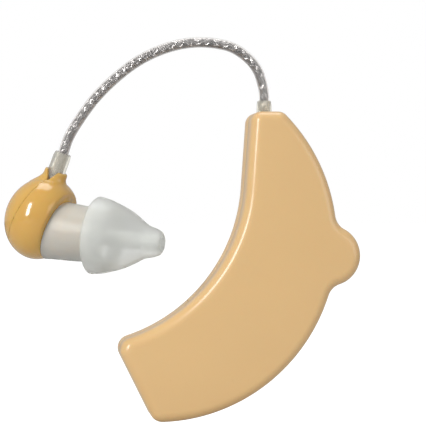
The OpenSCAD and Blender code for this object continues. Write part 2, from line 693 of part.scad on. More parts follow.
// Hollow body with its neck, before it is parted
module ear_body() {
    difference() {
        union() {
            bulb(0);
            neck();
        }
        bulb(bulb_wall);
        translate([neck_x, 0, 0]) cylinder(r = sleeve_r + sleeve_fit, h = far);
        translate([seat_x, -far, -far]) cube(2 * far);
    }
}
// Everything behind the seam, which passes through the neck's axis
module seam_side() {
    translate([neck_x, 0, neck_top]) rotate([0, seam_tilt, 0]) translate([-far, -far, -far])
        cube([far, 2 * far, 2 * far]);
}
slit_w = 1.3;
slit_deep = 1.9;
module neck_slit() {
    translate([neck_x, 0, neck_top]) rotate([90, 0, 0]) linear_extrude(far, center = true)
        polygon([[-slit_w, past], [0, -slit_deep], [slit_w, past]]);
}
module receiver_cap() color("#e2b761") {
    in_ear() difference() {
        intersection() {
            ear_body();
            seam_side();
        }
        neck_slit();
    }
}
snout_end_share = 0.9;
snout_bore = 2.9;
bore_start = 3;             // the bore is cut from this far inside the body
screen_r = 3.2;
screen_thick = 0.3;
module on_tip() {
    translate([tip_x, 0, -seat_drop]) rotate([0, 90 - tip_tilt, 0]) children();
}
module receiver_cup() color("#dba453") {
    in_ear() difference() {
        union() {
            difference() {
                ear_body();
                seam_side();
            }
            difference() {
                on_tip() translate([0, 0, -bulb_wall]) cylinder(r1 = snout_r, r2 = snout_r
                    * snout_end_share, h = snout_len + bulb_wall);
                translate([-far, -far, -far]) cube([far + seat_x - bulb_wall / 2, 2 * far, 2 * far]);
            }
        }
        neck_slit();
        on_tip() translate([0, 0, -bore_start]) cylinder(r = snout_bore, h = far);
        on_tip() translate([0, 0, snout_len - screen_thick]) cylinder(r = screen_r + sleeve_fit, h = far);
    }
}

gasket_thick = 0.6;
gasket_w = 0.9;
module receiver_gasket() color("#3b3b3d") {
    in_ear() translate([seat_x - bulb_wall - gasket_thick, 0, -seat_drop]) rotate([0, 90, 0]) difference() {
        cylinder(r = receiver_r, h = gasket_thick);
        translate([0, 0, -past]) cylinder(r = receiver_r - gasket_w, h = far);
    }
}
receiver_port_r = 1;
module receiver_capsule() color("#bfc3c7") {
    in_ear() translate([seat_x - bulb_wall - gasket_thick - receiver_thick, 0, -seat_drop])
        rotate([0, 90, 0]) difference() {
            cylinder(r = receiver_r, h = receiver_thick);
            translate([0, 0, receiver_thick - past]) cylinder(r = receiver_port_r, h = far);
        }
}
screen_hole_r = 0.35;
hole_count = 6;             // round the middle one
module snout_screen() color("#c9ccd0") {
    in_ear() on_tip() translate([0, 0, snout_len - screen_thick]) difference() {
        cylinder(r = screen_r, h = screen_thick);
        for (k = [0 : hole_count]) rotate(k * 360 / hole_count)
            translate([k == 0 ? 0 : screen_r / 2, 0, -past]) cylinder(r = screen_hole_r, h = far);
    }
}

// Ear tip: a soft sleeve on the snout, an umbrella flange and a rounded nozzle with a sound bore
// Shares [of flange_r, of tip_len]: the dome outside the flange, and the flange's underside
dome_shares = [[1, 0.397], [0.985, 0.43], [0.945, 0.497], [0.82, 0.62], [0.734, 0.687],
               [0.594, 0.768], [0.45, 0.845], [0.396, 0.9], [0.35, 0.95], [0.29, 0.985]];
under_shares = [[0.8, 0.53], [0.88, 0.45]];
skirt_wall = 0.6;
skirt_tip = 0.15;           // how far the flange's rounded edge reaches back
pocket_share = 0.55;        // how deep the gap under the flange reaches
skirt_start_share = 0.39;   // where the flange's free edge lies
sleeve_wall = 0.5;
end_room = 0.24;            // between the snout's end and the soft tip
module ear_tip() color("#cfd6da") {
    cavity_r = snout_r * snout_end_share + tip_gap;
    skirt_z = tip_len * skirt_start_share;
    in_ear() difference() {
        on_tip() rotate_extrude() polygon(concat(
            [[snout_r + tip_gap, -bulb_wall], [rim_r, -bulb_wall], [rim_r, 0],
             [cavity_r + sleeve_wall, skirt_z], [cavity_r + sleeve_wall, tip_len * under_shares[0][1]],
             [cavity_r + sleeve_wall + skirt_wall / 4, tip_len * pocket_share]],
            [for (p = under_shares) [flange_r * p[0], tip_len * p[1]]],
            [[flange_r - skirt_wall, skirt_z], [flange_r - skirt_wall / 2, skirt_z - skirt_tip],
             [flange_r - skirt_wall / 8, skirt_z]],
            [for (p = dome_shares) [flange_r * p[0], tip_len * p[1]]],
            [[bore_r, tip_len], [bore_r, snout_len + end_room], [cavity_r, snout_len + end_room]]));
        translate([-far, -far, -far]) cube([far + seat_x + tip_gap, 2 * far, 2 * far]);
    }
}

front_shell();
rear_shell();
battery_door();
button_cell();
battery_minus_contact();
battery_plus_contact();
circuit_board();
amplifier_chip();
board_capacitors();
board_resistors();
microphone_capsule();
microphone_boot();
microphone_pins();
volume_pot();
volume_wheel();
wheel_screw();
case_lead_sleeve();
lead_jacket();
lead_braid();
lead_wires();
earpiece_sleeve();
receiver_cap();
receiver_cup();
receiver_capsule();
receiver_gasket();
snout_screen();
ear_tip();
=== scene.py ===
import math
import bmesh
import bpy
from mathutils import Matrix, Vector


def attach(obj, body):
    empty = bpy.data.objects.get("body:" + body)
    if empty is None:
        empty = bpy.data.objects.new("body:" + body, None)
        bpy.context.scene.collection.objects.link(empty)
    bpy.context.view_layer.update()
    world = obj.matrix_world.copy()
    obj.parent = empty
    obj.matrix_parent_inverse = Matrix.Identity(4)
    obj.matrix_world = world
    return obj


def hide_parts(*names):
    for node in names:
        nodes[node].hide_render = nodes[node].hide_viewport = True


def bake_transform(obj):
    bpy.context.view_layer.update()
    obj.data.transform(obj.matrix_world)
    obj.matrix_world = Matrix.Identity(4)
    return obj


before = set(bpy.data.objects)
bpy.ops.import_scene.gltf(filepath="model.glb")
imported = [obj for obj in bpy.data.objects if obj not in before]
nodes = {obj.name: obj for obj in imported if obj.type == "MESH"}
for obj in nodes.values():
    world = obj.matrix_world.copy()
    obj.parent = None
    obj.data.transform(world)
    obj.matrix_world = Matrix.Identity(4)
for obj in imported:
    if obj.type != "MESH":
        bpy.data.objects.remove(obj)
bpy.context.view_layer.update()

mm = 0.001  # sizes below are in millimetres, meshes in metres
print("frame loaded:", len(nodes), "nodes")


# Small mesh tools

def polar(angle):
    return Vector((math.cos(math.radians(angle)), math.sin(math.radians(angle))))


def heading(v):
    return math.degrees(math.atan2(v.y, v.x))


def arc(center, radius, start, end, steps, smooth=True):
    # points along an arc, without the last where the next arc runs on from it
    count = steps if smooth else steps + 1
    return [center + radius * polar(start + (end - start) * k / steps) for k in range(count)]


def makeObject(name, verts, faces, sharpAngle=35):
    # verts in millimetres; the object stays at the origin, its place is in its mesh
    mesh = bpy.data.meshes.new(name)
    mesh.from_pydata([Vector(v) * mm for v in verts], [], faces)
    mesh.validate()
    obj = bpy.data.objects.new(name, mesh)
    bpy.context.scene.collection.objects.link(obj)
    smoothShade(obj, sharpAngle)
    return obj


def smoothShade(obj, sharpAngle=35):
    obj.data.shade_smooth()
    obj.data.set_sharp_from_angle(angle=math.radians(sharpAngle))


def skinRings(rings, looped=False, caps=True):
    # quads between rings of equal count, capped at both ends or joined end to end
    count = len(rings[0])
    last = len(rings) - 1
    verts = [p for ring in rings for p in ring]
    faces = []
    for i in range(last if not looped else last + 1):
        n = (i + 1) % (last + 1)
        for j in range(count):
            k = (j + 1) % count
            faces.append((i * count + j, i * count + k, n * count + k, n * count + j))
    if caps and not looped:
        faces.append(tuple(range(count - 1, -1, -1)))
        faces.append(tuple(last * count + j for j in range(count)))
    return verts, faces


def applyModifiers(obj):
    # the modifiers' result becomes the object's own mesh
    depsgraph = bpy.context.evaluated_depsgraph_get()
    mesh = bpy.data.meshes.new_from_object(obj.evaluated_get(depsgraph))
    old = obj.data
    obj.modifiers.clear()
    obj.data = mesh
    bpy.data.meshes.remove(old)


def cutWith(obj, cutter, operation="DIFFERENCE"):
    boolean = obj.modifiers.new("cut", "BOOLEAN")
    boolean.operation = operation
    boolean.solver = "EXACT"
    boolean.object = cutter
    applyModifiers(obj)
    bpy.data.objects.remove(cutter)


def recalcNormals(obj):
    bm = bmesh.new()
    bm.from_mesh(obj.data)
    bmesh.ops.remove_doubles(bm, verts=bm.verts, dist=1e-7)
    bmesh.ops.recalc_face_normals(bm, faces=bm.faces)
    bm.to_mesh(obj.data)
    bm.free()


def lathe(name, profile, steps, place, closed=False, sharpAngle=35):
    # profile points are (radius, height) round the local z axis; place carries them into the row frame
    verts, faces, rings = [], [], []
    for radius, height in profile:
        if radius < 1e-6:
            rings.append([len(verts)])
            verts.append(place(Vector((0, 0, height))))
            continue
        rings.append(list(range(len(verts), len(verts) + steps)))
        for k in range(steps):
            turn = polar(360 * k / steps) * radius
            verts.append(place(Vector((turn.x, turn.y, height))))
    pairs = list(zip(rings, rings[1:] + rings[:1])) if closed else list(zip(rings, rings[1:]))
    for low, high in pairs:
        for k in range(steps):
            n = (k + 1) % steps
            if len(low) == 1 and len(high) > 1:
                faces.append((low[0], high[n], high[k]))
            elif len(high) == 1 and len(low) > 1:
                faces.append((low[k], low[n], high[0]))
            elif len(low) > 1:
                faces.append((low[k], low[n], high[n], high[k]))
    obj = makeObject(name, verts, faces, sharpAngle)
    recalcNormals(obj)
    smoothShade(obj, sharpAngle)
    return obj


def finishPiece(obj, body, material, slotName, *replaced):
    obj.data.materials.clear()
    obj.data.materials.append(material)
    if body is not None:
        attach(obj, body)
    if replaced:
        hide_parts(*replaced)
    return obj


# Shader groups and materials

def newGroup(name, inputs, outputs):
    group = bpy.data.node_groups.new(name, "ShaderNodeTree")
    for label, kind, value in inputs:
        socket = group.interface.new_socket(name=label, in_out="INPUT", socket_type=kind)
        socket.default_value = value
    for label, kind in outputs:
        group.interface.new_socket(name=label, in_out="OUTPUT", socket_type=kind)
    return group, group.nodes.new("NodeGroupInput"), group.nodes.new("NodeGroupOutput")


def mixColor(tree, blend="MIX"):
    node = tree.nodes.new("ShaderNodeMix")
    node.data_type = "RGBA"
    node.blend_type = blend
    return node


def makeMouldedSurface():
    # colour drift, faint speckle, roughness drift and a fine surface ripple of moulded plastic; on the
    # braid the colour drift is painted highlights and painted shade
    group, start, end = newGroup("mouldedSurface", [
        ("Color", "NodeSocketColor", (0.8, 0.6, 0.4, 1)),
        ("Second Color", "NodeSocketColor", (0.7, 0.5, 0.3, 1)),
        ("Drift Scale", "NodeSocketFloat", 60.0),
        ("Drift Amount", "NodeSocketFloat", 0.5),
        ("Grain Scale", "NodeSocketFloat", 4000.0),
        ("Ripple Scale", "NodeSocketFloat", 700.0),
        ("Ripple Height", "NodeSocketFloat", 0.000004),
        ("Roughness", "NodeSocketFloat", 0.2),
        ("Roughness Drift", "NodeSocketFloat", 0.08),
    ], [("Color", "NodeSocketColor"), ("Roughness", "NodeSocketFloat"), ("Normal", "NodeSocketVector")])
    add, link = group.nodes.new, group.links.new
    place = add("ShaderNodeTexCoord")
    drift = add("ShaderNodeTexNoise")
    drift.inputs["Detail"].default_value = 3
    link(place.outputs["Object"], drift.inputs["Vector"])
    link(start.outputs["Drift Scale"], drift.inputs["Scale"])
    amount = add("ShaderNodeMath")
    amount.operation = "MULTIPLY"
    link(drift.outputs["Fac"], amount.inputs[0])
    link(start.outputs["Drift Amount"], amount.inputs[1])
    mix = mixColor(group)
    link(amount.outputs[0], mix.inputs["Factor"])
    link(start.outputs["Color"], mix.inputs[6])
    link(start.outputs["Second Color"], mix.inputs[7])
    link(mix.outputs[2], end.inputs["Color"])
    grain = add("ShaderNodeTexNoise")
    grain.inputs["Detail"].default_value = 2
    link(place.outputs["Object"], grain.inputs["Vector"])
    link(start.outputs["Grain Scale"], grain.inputs["Scale"])
    centered = add("ShaderNodeMath")
    centered.operation = "SUBTRACT"
    centered.inputs[1].default_value = 0.5
    link(grain.outputs["Fac"], centered.inputs[0])
    rough = add("ShaderNodeMath")
    rough.operation = "MULTIPLY_ADD"
    link(centered.outputs[0], rough.inputs[0])
    link(start.outputs["Roughness Drift"], rough.inputs[1])
    link(start.outputs["Roughness"], rough.inputs[2])
    link(rough.outputs[0], end.inputs["Roughness"])
    ripple = add("ShaderNodeTexNoise")
    ripple.inputs["Detail"].default_value = 2
    link(place.outputs["Object"], ripple.inputs["Vector"])
    link(start.outputs["Ripple Scale"], ripple.inputs["Scale"])
    bump = add("ShaderNodeBump")
    bump.inputs["Strength"].default_value = 1
    link(ripple.outputs["Fac"], bump.inputs["Height"])
    link(start.outputs["Ripple Height"], bump.inputs["Distance"])
    link(bump.outputs["Normal"], end.inputs["Normal"])
    return group


def makeHandlingMarks():
    # thin scratches and rubbed spots, as a mask from 0 to 1
    group, start, end = newGroup("handlingMarks", [
        ("Scratch Scale", "NodeSocketFloat", 120.0),
        ("Amount", "NodeSocketFloat", 0.3),
    ], [("Mask", "NodeSocketFloat")])
    add, link = group.nodes.new, group.links.new
    place = add("ShaderNodeTexCoord")
    stretch = add("ShaderNodeMapping")
    stretch.inputs["Rotation"].default_value = (0.2, 0.9, 0.4)
    stretch.inputs["Scale"].default_value = (1, 14, 14)
    link(place.outputs["Object"], stretch.inputs["Vector"])
    lines = add("ShaderNodeTexNoise")
    lines.inputs["Detail"].default_value = 1
    link(stretch.outputs["Vector"], lines.inputs["Vector"])
    link(start.outputs["Scratch Scale"], lines.inputs["Scale"])
    narrow = add("ShaderNodeMapRange")
    narrow.inputs["From Min"].default_value = 0.66
    narrow.inputs["From Max"].default_value = 0.72
    link(lines.outputs["Fac"], narrow.inputs["Value"])
    scaled = add("ShaderNodeMath")
    scaled.operation = "MULTIPLY"
    link(narrow.outputs["Result"], scaled.inputs[0])
    link(start.outputs["Amount"], scaled.inputs[1])
    link(scaled.outputs[0], end.inputs["Mask"])
    return group


mouldedSurface = makeMouldedSurface()
handlingMarks = makeHandlingMarks()


def surfaceMaterial(name, color, second, rough, drift=0.5, driftScale=60, roughDrift=0.08,
                    ripple=0.000004, rippleScale=700, marks=0.0, fixed=None):
    # a Principled material fed by the moulded surface group; fixed holds constants for its sockets
    material = bpy.data.materials.new(name)
    material.use_nodes = True
    tree = material.node_tree
    shader = tree.nodes["Principled BSDF"]
    skin = tree.nodes.new("ShaderNodeGroup")
    skin.node_tree = mouldedSurface
    skin.inputs["Color"].default_value = (*color, 1)
    skin.inputs["Second Color"].default_value = (*second, 1)
    skin.inputs["Drift Scale"].default_value = driftScale
    skin.inputs["Drift Amount"].default_value = drift
    skin.inputs["Ripple Height"].default_value = ripple
    skin.inputs["Ripple Scale"].default_value = rippleScale
    skin.inputs["Roughness"].default_value = rough
    skin.inputs["Roughness Drift"].default_value = roughDrift
    tree.links.new(skin.outputs["Color"], shader.inputs["Base Color"])
    tree.links.new(skin.outputs["Normal"], shader.inputs["Normal"])
    if marks:
        worn = tree.nodes.new("ShaderNodeGroup")
        worn.node_tree = handlingMarks
        worn.inputs["Amount"].default_value = marks
        total = tree.nodes.new("ShaderNodeMath")
        total.operation = "ADD"
        total.use_clamp = True
        tree.links.new(skin.outputs["Roughness"], total.inputs[0])
        tree.links.new(worn.outputs["Mask"], total.inputs[1])
        tree.links.new(total.outputs[0], shader.inputs["Roughness"])
    else:
        tree.links.new(skin.outputs["Roughness"], shader.inputs["Roughness"])
    for socket, value in (fixed or {}).items():
        shader.inputs[socket].default_value = value
    return material


finishes = {
    "casePlastic": surfaceMaterial(
        "casePlastic", (0.80, 0.53, 0.24), (0.73, 0.475, 0.22), 0.28, drift=0.9, driftScale=45,
        roughDrift=0.03, ripple=0.000003, rippleScale=320, marks=0.03,
        fixed={"Subsurface Weight": 0.12, "Subsurface Scale": 0.0012,
               "Subsurface Radius": (1.0, 0.5, 0.25), "Coat Weight": 0.35, "Coat Roughness": 0.2}),
    "bulbPlastic": surfaceMaterial(
        "bulbPlastic", (0.70, 0.44, 0.10), (0.62, 0.33, 0.075), 0.16, drift=0.9, driftScale=110,
        ripple=0.000003, rippleScale=260, marks=0.04,
        fixed={"Subsurface Weight": 0.25, "Subsurface Scale": 0.0015,
               "Subsurface Radius": (1.0, 0.5, 0.2), "Coat Weight": 0.5, "Coat Roughness": 0.06}),
    "tipSilicone": surfaceMaterial(
        "tipSilicone", (0.84, 0.85, 0.825), (0.81, 0.825, 0.80), 0.55, drift=0.4, driftScale=60,
        roughDrift=0.01, ripple=0.0000001, rippleScale=100,
        fixed={"Transmission Weight": 0.62, "IOR": 1.1, "Coat Weight": 0.25,
               "Coat Roughness": 0.35}),
    "clearVinyl": surfaceMaterial(
        "clearVinyl", (0.95, 0.93, 0.91), (0.92, 0.90, 0.88), 0.06, drift=0.5, driftScale=200,
        ripple=0.000002, rippleScale=500,
        fixed={"Transmission Weight": 1.0, "IOR": 1.2}),
    "clearSleeve": surfaceMaterial(
        "clearSleeve", (0.98, 0.96, 0.88), (0.95, 0.93, 0.84), 0.2, drift=0.5, driftScale=200,
        ripple=0.000003, rippleScale=500,
        fixed={"Transmission Weight": 0.8, "IOR": 1.15}),
    # braid strands: the colour swings at random between bright and dark in small patches, painted
    # highlights and painted shade standing in for the glints along the braid
    "braidStrand": surfaceMaterial(
        "braidStrand", (0.85, 0.85, 0.86), (0.30, 0.30, 0.31), 0.16, drift=0.9, driftScale=900,
        ripple=0.000001, rippleScale=2500, fixed={"Metallic": 1.0}),
    # near-black core under the braid: a dark sheet that paints the shade seen between the strands
    "braidShadeCore": surfaceMaterial(
        "braidShadeCore", (0.012, 0.012, 0.012), (0.008, 0.008, 0.008), 0.7, fixed={"Metallic": 0.0}),
    "copperCoat": surfaceMaterial("copperCoat", (0.52, 0.09, 0.04), (0.42, 0.06, 0.03), 0.3),
    "wheelPlastic": surfaceMaterial(
        "wheelPlastic", (0.74, 0.53, 0.31), (0.66, 0.46, 0.26), 0.42, drift=0.6, ripple=0.000004,
        marks=0.2),
    "boardLaminate": surfaceMaterial(
        "boardLaminate", (0.03, 0.17, 0.07), (0.02, 0.10, 0.045), 0.3, drift=0.9, driftScale=700,
        ripple=0.00001, rippleScale=900),
    "chipResin": surfaceMaterial("chipResin", (0.025, 0.025, 0.028), (0.04, 0.04, 0.042), 0.5,
                                 ripple=0.000008, rippleScale=3000),
    "capacitorCan": surfaceMaterial("capacitorCan", (0.14, 0.18, 0.34), (0.10, 0.14, 0.28), 0.32,
                                    fixed={"Metallic": 0.6}),
    "canSteel": surfaceMaterial("canSteel", (0.66, 0.66, 0.67), (0.54, 0.54, 0.55), 0.24, drift=0.8,
                                driftScale=300, marks=0.25, fixed={"Metallic": 1.0}),
    "contactBrass": surfaceMaterial("contactBrass", (0.78, 0.62, 0.30), (0.64, 0.48, 0.2), 0.28,
                                    marks=0.2, fixed={"Metallic": 1.0}),
    "blackRubber": surfaceMaterial("blackRubber", (0.025, 0.025, 0.027), (0.04, 0.04, 0.04), 0.62,
                                   ripple=0.00001, rippleScale=2500),
}
print("materials made:", len(finishes))

# Case

case = {
    "thick": 9.0, "wall": 1.1, "edgeR": 1.8,
    "innerR": 28.95, "innerZ": -22.0, "outerR": 30.63, "outerZ": -33.26,
    "lean": 4.0, "topZ": -11.0, "neckW": 5.4, "topCornerR": 1.9,
    "endAngle": 206.4, "endReach": 14.62, "endCornerR": 2.2,
    "lobeR": 5.2, "lobeAngle": -5.0, "lobeSink": 0.97, "blendR": 3.0,
    "leadX": 11.25, "leadHoleR": 1.4,
    "lipHigh": 0.6, "lipThick": 0.45, "lipGap": 0.1,
    "doorLen": 14.6, "doorWall": 0.8, "seamGap": 0.1, "seamRound": 0.14,
    "slotTurnR": 5.1, "edgeSteps": 9, "postR": 1.25,
}
half = case["thick"] / 2
innerA = Vector((
    case["leadX"] - case["neckW"] / 2
    - (case["topZ"] - case["innerZ"] + case["innerR"] * math.sin(math.radians(case["lean"])))
    * math.tan(math.radians(case["lean"]))
    - case["innerR"] * math.cos(math.radians(case["lean"])), case["innerZ"]))
outerB = Vector((
    case["leadX"] + case["neckW"] / 2
    - math.sqrt(case["outerR"] ** 2 - (case["topZ"] - case["outerZ"]) ** 2), case["outerZ"]))
endN = polar(case["endAngle"])
endM = polar(case["endAngle"] + 90)
lobeAt = outerB + (case["outerR"] - case["lobeSink"]) * polar(case["lobeAngle"])

endH = case["endReach"] - case["endCornerR"]
cornerOuter = outerB + endN * endH + endM * math.sqrt(
    (case["outerR"] - case["endCornerR"]) ** 2 - endH ** 2)
innerH = endH - (innerA - outerB).dot(endN)
cornerInner = innerA + endN * innerH + endM * math.sqrt(
    (case["innerR"] + case["endCornerR"]) ** 2 - innerH ** 2)
topOuter = Vector((
    outerB.x + math.sqrt((case["outerR"] - case["topCornerR"]) ** 2
                         - (case["topZ"] - case["topCornerR"] - outerB.y) ** 2),
    case["topZ"] - case["topCornerR"]))
leanStart = innerA + case["innerR"] * polar(-case["lean"])
leanRun = (case["topZ"] - case["topCornerR"] - leanStart.y
           + case["topCornerR"] * math.sin(math.radians(case["lean"]))) / math.cos(
               math.radians(case["lean"]))
topInner = leanStart + case["topCornerR"] * polar(-case["lean"]) + leanRun * Vector((
    math.sin(math.radians(case["lean"])), math.cos(math.radians(case["lean"]))))
blendTurn = math.degrees(math.acos(
    ((case["outerR"] - case["lobeSink"]) ** 2 + (case["outerR"] + case["blendR"]) ** 2
     - (case["lobeR"] + case["blendR"]) ** 2)
    / (2 * (case["outerR"] - case["lobeSink"]) * (case["outerR"] + case["blendR"]))))
blendLow = outerB + (case["outerR"] + case["blendR"]) * polar(case["lobeAngle"] - blendTurn)
blendHigh = outerB + (case["outerR"] + case["blendR"]) * polar(case["lobeAngle"] + blendTurn)
lowAngle = heading(cornerOuter - outerB)
highAngle = heading(topOuter - outerB)
innerAngle = heading(cornerInner - innerA)


def meetOuter(s, inset):
    # where a line across the case, at s from its bottom end, meets the convex edge
    h = case["endReach"] - s
    return endN * h + endM * math.sqrt((case["outerR"] - inset) ** 2 - h ** 2)


def meetInner(s, inset):
    h = case["endReach"] - s - (innerA - outerB).dot(endN)
    return endN * h + endM * math.sqrt((case["innerR"] + inset) ** 2 - h ** 2)


def edgesAt(s):
    # where the two long edges lie along a line across the case, at s from its bottom end
    h = case["endReach"] - s
    near = math.sqrt(case["innerR"] ** 2 - (h - (innerA - outerB).dot(endN)) ** 2)
    return near + (innerA - outerB).dot(endM), math.sqrt(case["outerR"] ** 2 - h ** 2)


def fromEnd(s, side):
    near, off = edgesAt(s)
    return outerB + endN * (case["endReach"] - s) + endM * ((near + off) / 2 + side)


def halfWidth(s):
    near, off = edgesAt(s)
    return (off - near) / 2


def across(s, share):
    return fromEnd(s, (2 * share - 1) * halfWidth(s))


def fullTurn(angle):
    return angle + 360 if angle < 0 else angle


def convex(inset, start, end, steps, smooth=True):
    return arc(outerB, case["outerR"] - inset, start, end, steps, smooth)


def concave(inset, start, end, steps, smooth=True):
    return arc(innerA, case["innerR"] + inset, start, end, steps, smooth)


def bottomRun(inset):
    r = case["endCornerR"] - inset
    return (arc(cornerInner, r, innerAngle + 180, case["endAngle"], 10, False)
            + arc(cornerOuter, r, case["endAngle"], fullTurn(lowAngle), 10))


def topRun(inset):
    r = case["topCornerR"] - inset
    flat = 28
    return (arc(topOuter, r, highAngle, 90, 9, False)
            + [Vector((topOuter.x + (topInner.x - topOuter.x) * k / flat, case["topZ"] - inset))
               for k in range(1, flat)]
            + arc(topInner, r, 90, 180 - case["lean"], 9, False))


def lobeRun(inset):
    return (arc(blendLow, case["blendR"] + inset, case["lobeAngle"] - blendTurn + 180,
                heading(lobeAt - blendLow), 8)
            + arc(lobeAt, case["lobeR"] - inset, heading(blendLow - lobeAt),
                  heading(blendHigh - lobeAt), 30)
            + arc(blendHigh, case["blendR"] + inset, fullTurn(heading(lobeAt - blendHigh)),
                  case["lobeAngle"] + blendTurn + 180, 8))


rearS = case["doorLen"] + case["seamGap"] / 2
doorS = case["doorLen"] - case["seamGap"] / 2
turnStep = 0.12
outerLow = heading(meetOuter(doorS - case["doorWall"] - case["lipHigh"], case["wall"]))
outerUp = heading(meetOuter(rearS + case["wall"] + case["lipHigh"], case["wall"]))
innerUp = heading(meetInner(rearS + case["wall"] + case["lipHigh"], case["wall"]))
slotTurn = 2 * math.degrees(math.asin(case["slotTurnR"] / 2 / (case["outerR"] - case["wall"])))
slotY = half - case["edgeR"] - 0.05
stepY = case["lipHigh"] + case["lipGap"]
stepInset = case["wall"] - case["lipThick"] - case["lipGap"]
floorY = case["wall"] - half
rearFloor = half - case["wall"]
innerEdgeR = case["edgeR"] - case["wall"]


def atDepth(points, y):
    return [Vector((p.x, y, p.y)) for p in points]


def rim(points, y, side):
    # the rim dips round the lead's hole
    out = []
    for p in points:
        off = abs(p.x - case["leadX"])
        near = p.y > case["topZ"] - case["wall"] - case["edgeR"] and off < case["leadHoleR"]
        out.append(Vector((p.x, side * math.sqrt(case["leadHoleR"] ** 2 - off ** 2) if near else y, p.y)))
    return out


def frontRuns(inset):
    return [
        (bottomRun(inset), False),
        (convex(inset, lowAngle, outerLow, 14, False), True),
        (convex(inset, outerLow + turnStep, outerUp - turnStep, 4, False), False),
        (convex(inset, outerUp, case["lobeAngle"] - blendTurn, 22), True),
        (lobeRun(inset), False),
        (convex(inset, case["lobeAngle"] + blendTurn, highAngle, 24), True),
        (topRun(inset), True),
        (concave(inset, -case["lean"], innerUp, 34, False), True),
        (concave(inset, innerUp - turnStep, innerAngle, 20), False),
    ]


def frontRing(inset, y):
    return atDepth([p for run, lipped in frontRuns(inset) for p in run], y)


def frontRim(inset, lip, low=0.0):
    # lipped runs go to the lip's height, the others stay at low
    out = []
    for number, (run, lipped) in enumerate(frontRuns(inset)):
        if number == 6:
            out += rim(run, lip if lipped else low, -1)
        else:
            out += atDepth(run, lip if lipped else low)
    return out


def edgeTurns(steps):
    return [math.radians(90 * k / steps) for k in range(steps + 1)]


def postPlace(angle, share):
    # point of the case on a ray from the concave edge's centre
    d = polar(angle)
    w = innerA - outerB
    b = d.dot(w)
    reach = math.sqrt(b * b - w.dot(w) + case["outerR"] ** 2) - b
    return innerA + d * (case["innerR"] + (reach - case["innerR"]) * share)


def rod(name, at, radius, y0, y1, steps=32):
    rings = [[Vector((at.x + radius * math.cos(2 * math.pi * k / steps), y,
                      at.y + radius * math.sin(2 * math.pi * k / steps))) for k in range(steps)]
             for y in (y0, y1)]
    obj = makeObject(name, *skinRings(rings))
    recalcNormals(obj)
    return obj


def buildFrontShell():
    r = case["edgeR"]
    e = case["seamRound"]
    rings = [frontRing(r * (1 - math.sin(q)), r * (1 - math.cos(q)) - half)
             for q in edgeTurns(case["edgeSteps"])]
    rings += [frontRing(0, -e), frontRing(0.25 * e, -0.3 * e)]
    rings += [frontRim(e, 0), frontRim(case["wall"] - case["lipThick"], 0),
              frontRim(case["wall"] - case["lipThick"], case["lipHigh"]),
              frontRim(case["wall"], case["lipHigh"])]
    rings += [frontRing(case["wall"] + innerEdgeR * (1 - math.cos(q)),
                        floorY + innerEdgeR * (1 - math.sin(q))) for q in edgeTurns(4)]
    obj = makeObject("caseFront", *skinRings(rings))
    recalcNormals(obj)
    for place in (postPlace(-8, 0.62), across(23.2, 0.2), across(18.8, 0.78)):
        cutWith(obj, rod("post", place, case["postR"], floorY - 0.2, -0.15), "UNION")
    smoothShade(obj, 32)
    return finishPiece(obj, "case", finishes["casePlastic"], "case_plastic", "front_shell")


def rearRuns(inset, parted):
    return [
        convex(inset, heading(meetOuter(rearS + parted, inset)),
               case["lobeAngle"] - slotTurn - turnStep, 20, False),
        convex(inset, case["lobeAngle"] - slotTurn, case["lobeAngle"] + slotTurn, 16, False),
        convex(inset, case["lobeAngle"] + slotTurn + turnStep, highAngle, 26),
        topRun(inset),
        concave(inset, -case["lean"], heading(meetInner(rearS + parted, inset)), 40, False),
    ]


def rearRing(inset, parted, y):
    return atDepth([p for run in rearRuns(inset, parted) for p in run], y)


def rearRim(inset, parted, y):
    out = []
    for number, run in enumerate(rearRuns(inset, parted)):
        if number == 1:
            out += atDepth(run, slotY)
        elif number == 3:
            out += rim(run, y, 1)
        else:
            out += atDepth(run, y)
    return out


def buildRearShell():
    r = case["edgeR"]
    e = case["seamRound"]
    wall = case["wall"]
    rings = [rearRing(wall + innerEdgeR * (1 - math.sin(q)), wall,
                      rearFloor - innerEdgeR * (1 - math.cos(q))) for q in edgeTurns(4)]
    rings += [rearRim(wall, wall, stepY), rearRim(stepInset, wall, stepY), rearRim(stepInset, wall, 0)]
    rings += [rearRim(e, e, 0), rearRim(0.25 * e, 0.25 * e, 0.3 * e), rearRim(0, 0, e)]
    turns = edgeTurns(case["edgeSteps"])
    rings += [rearRing(r * (1 - math.cos(q)), 0, half - r * (1 - math.sin(q))) for q in turns[:-1]]
    rings += [rearRing(r, 0.3 * e, half - 0.0), rearRing(r + e, e, half)]
    obj = makeObject("caseRear", *skinRings(rings))
    recalcNormals(obj)
    port = rod("port", postPlace(1, 0.5), 0.6, rearFloor - 0.2, half + 0.2)
    cutWith(obj, port)
    smoothShade(obj, 32)
    return finishPiece(obj, "case", finishes["casePlastic"], "case_plastic", "rear_shell")


def doorRing(inset, parted, y):
    return atDepth(
        bottomRun(inset)
        + convex(inset, lowAngle, heading(meetOuter(doorS - parted, inset)), 16, False)
        + concave(inset, heading(meetInner(doorS - parted, inset)), innerAngle, 16), y)


grooves = {"count": 4, "first": 3.2, "pitch": 1.5, "width": 0.7, "halfLength": 3.6, "deep": 0.35}


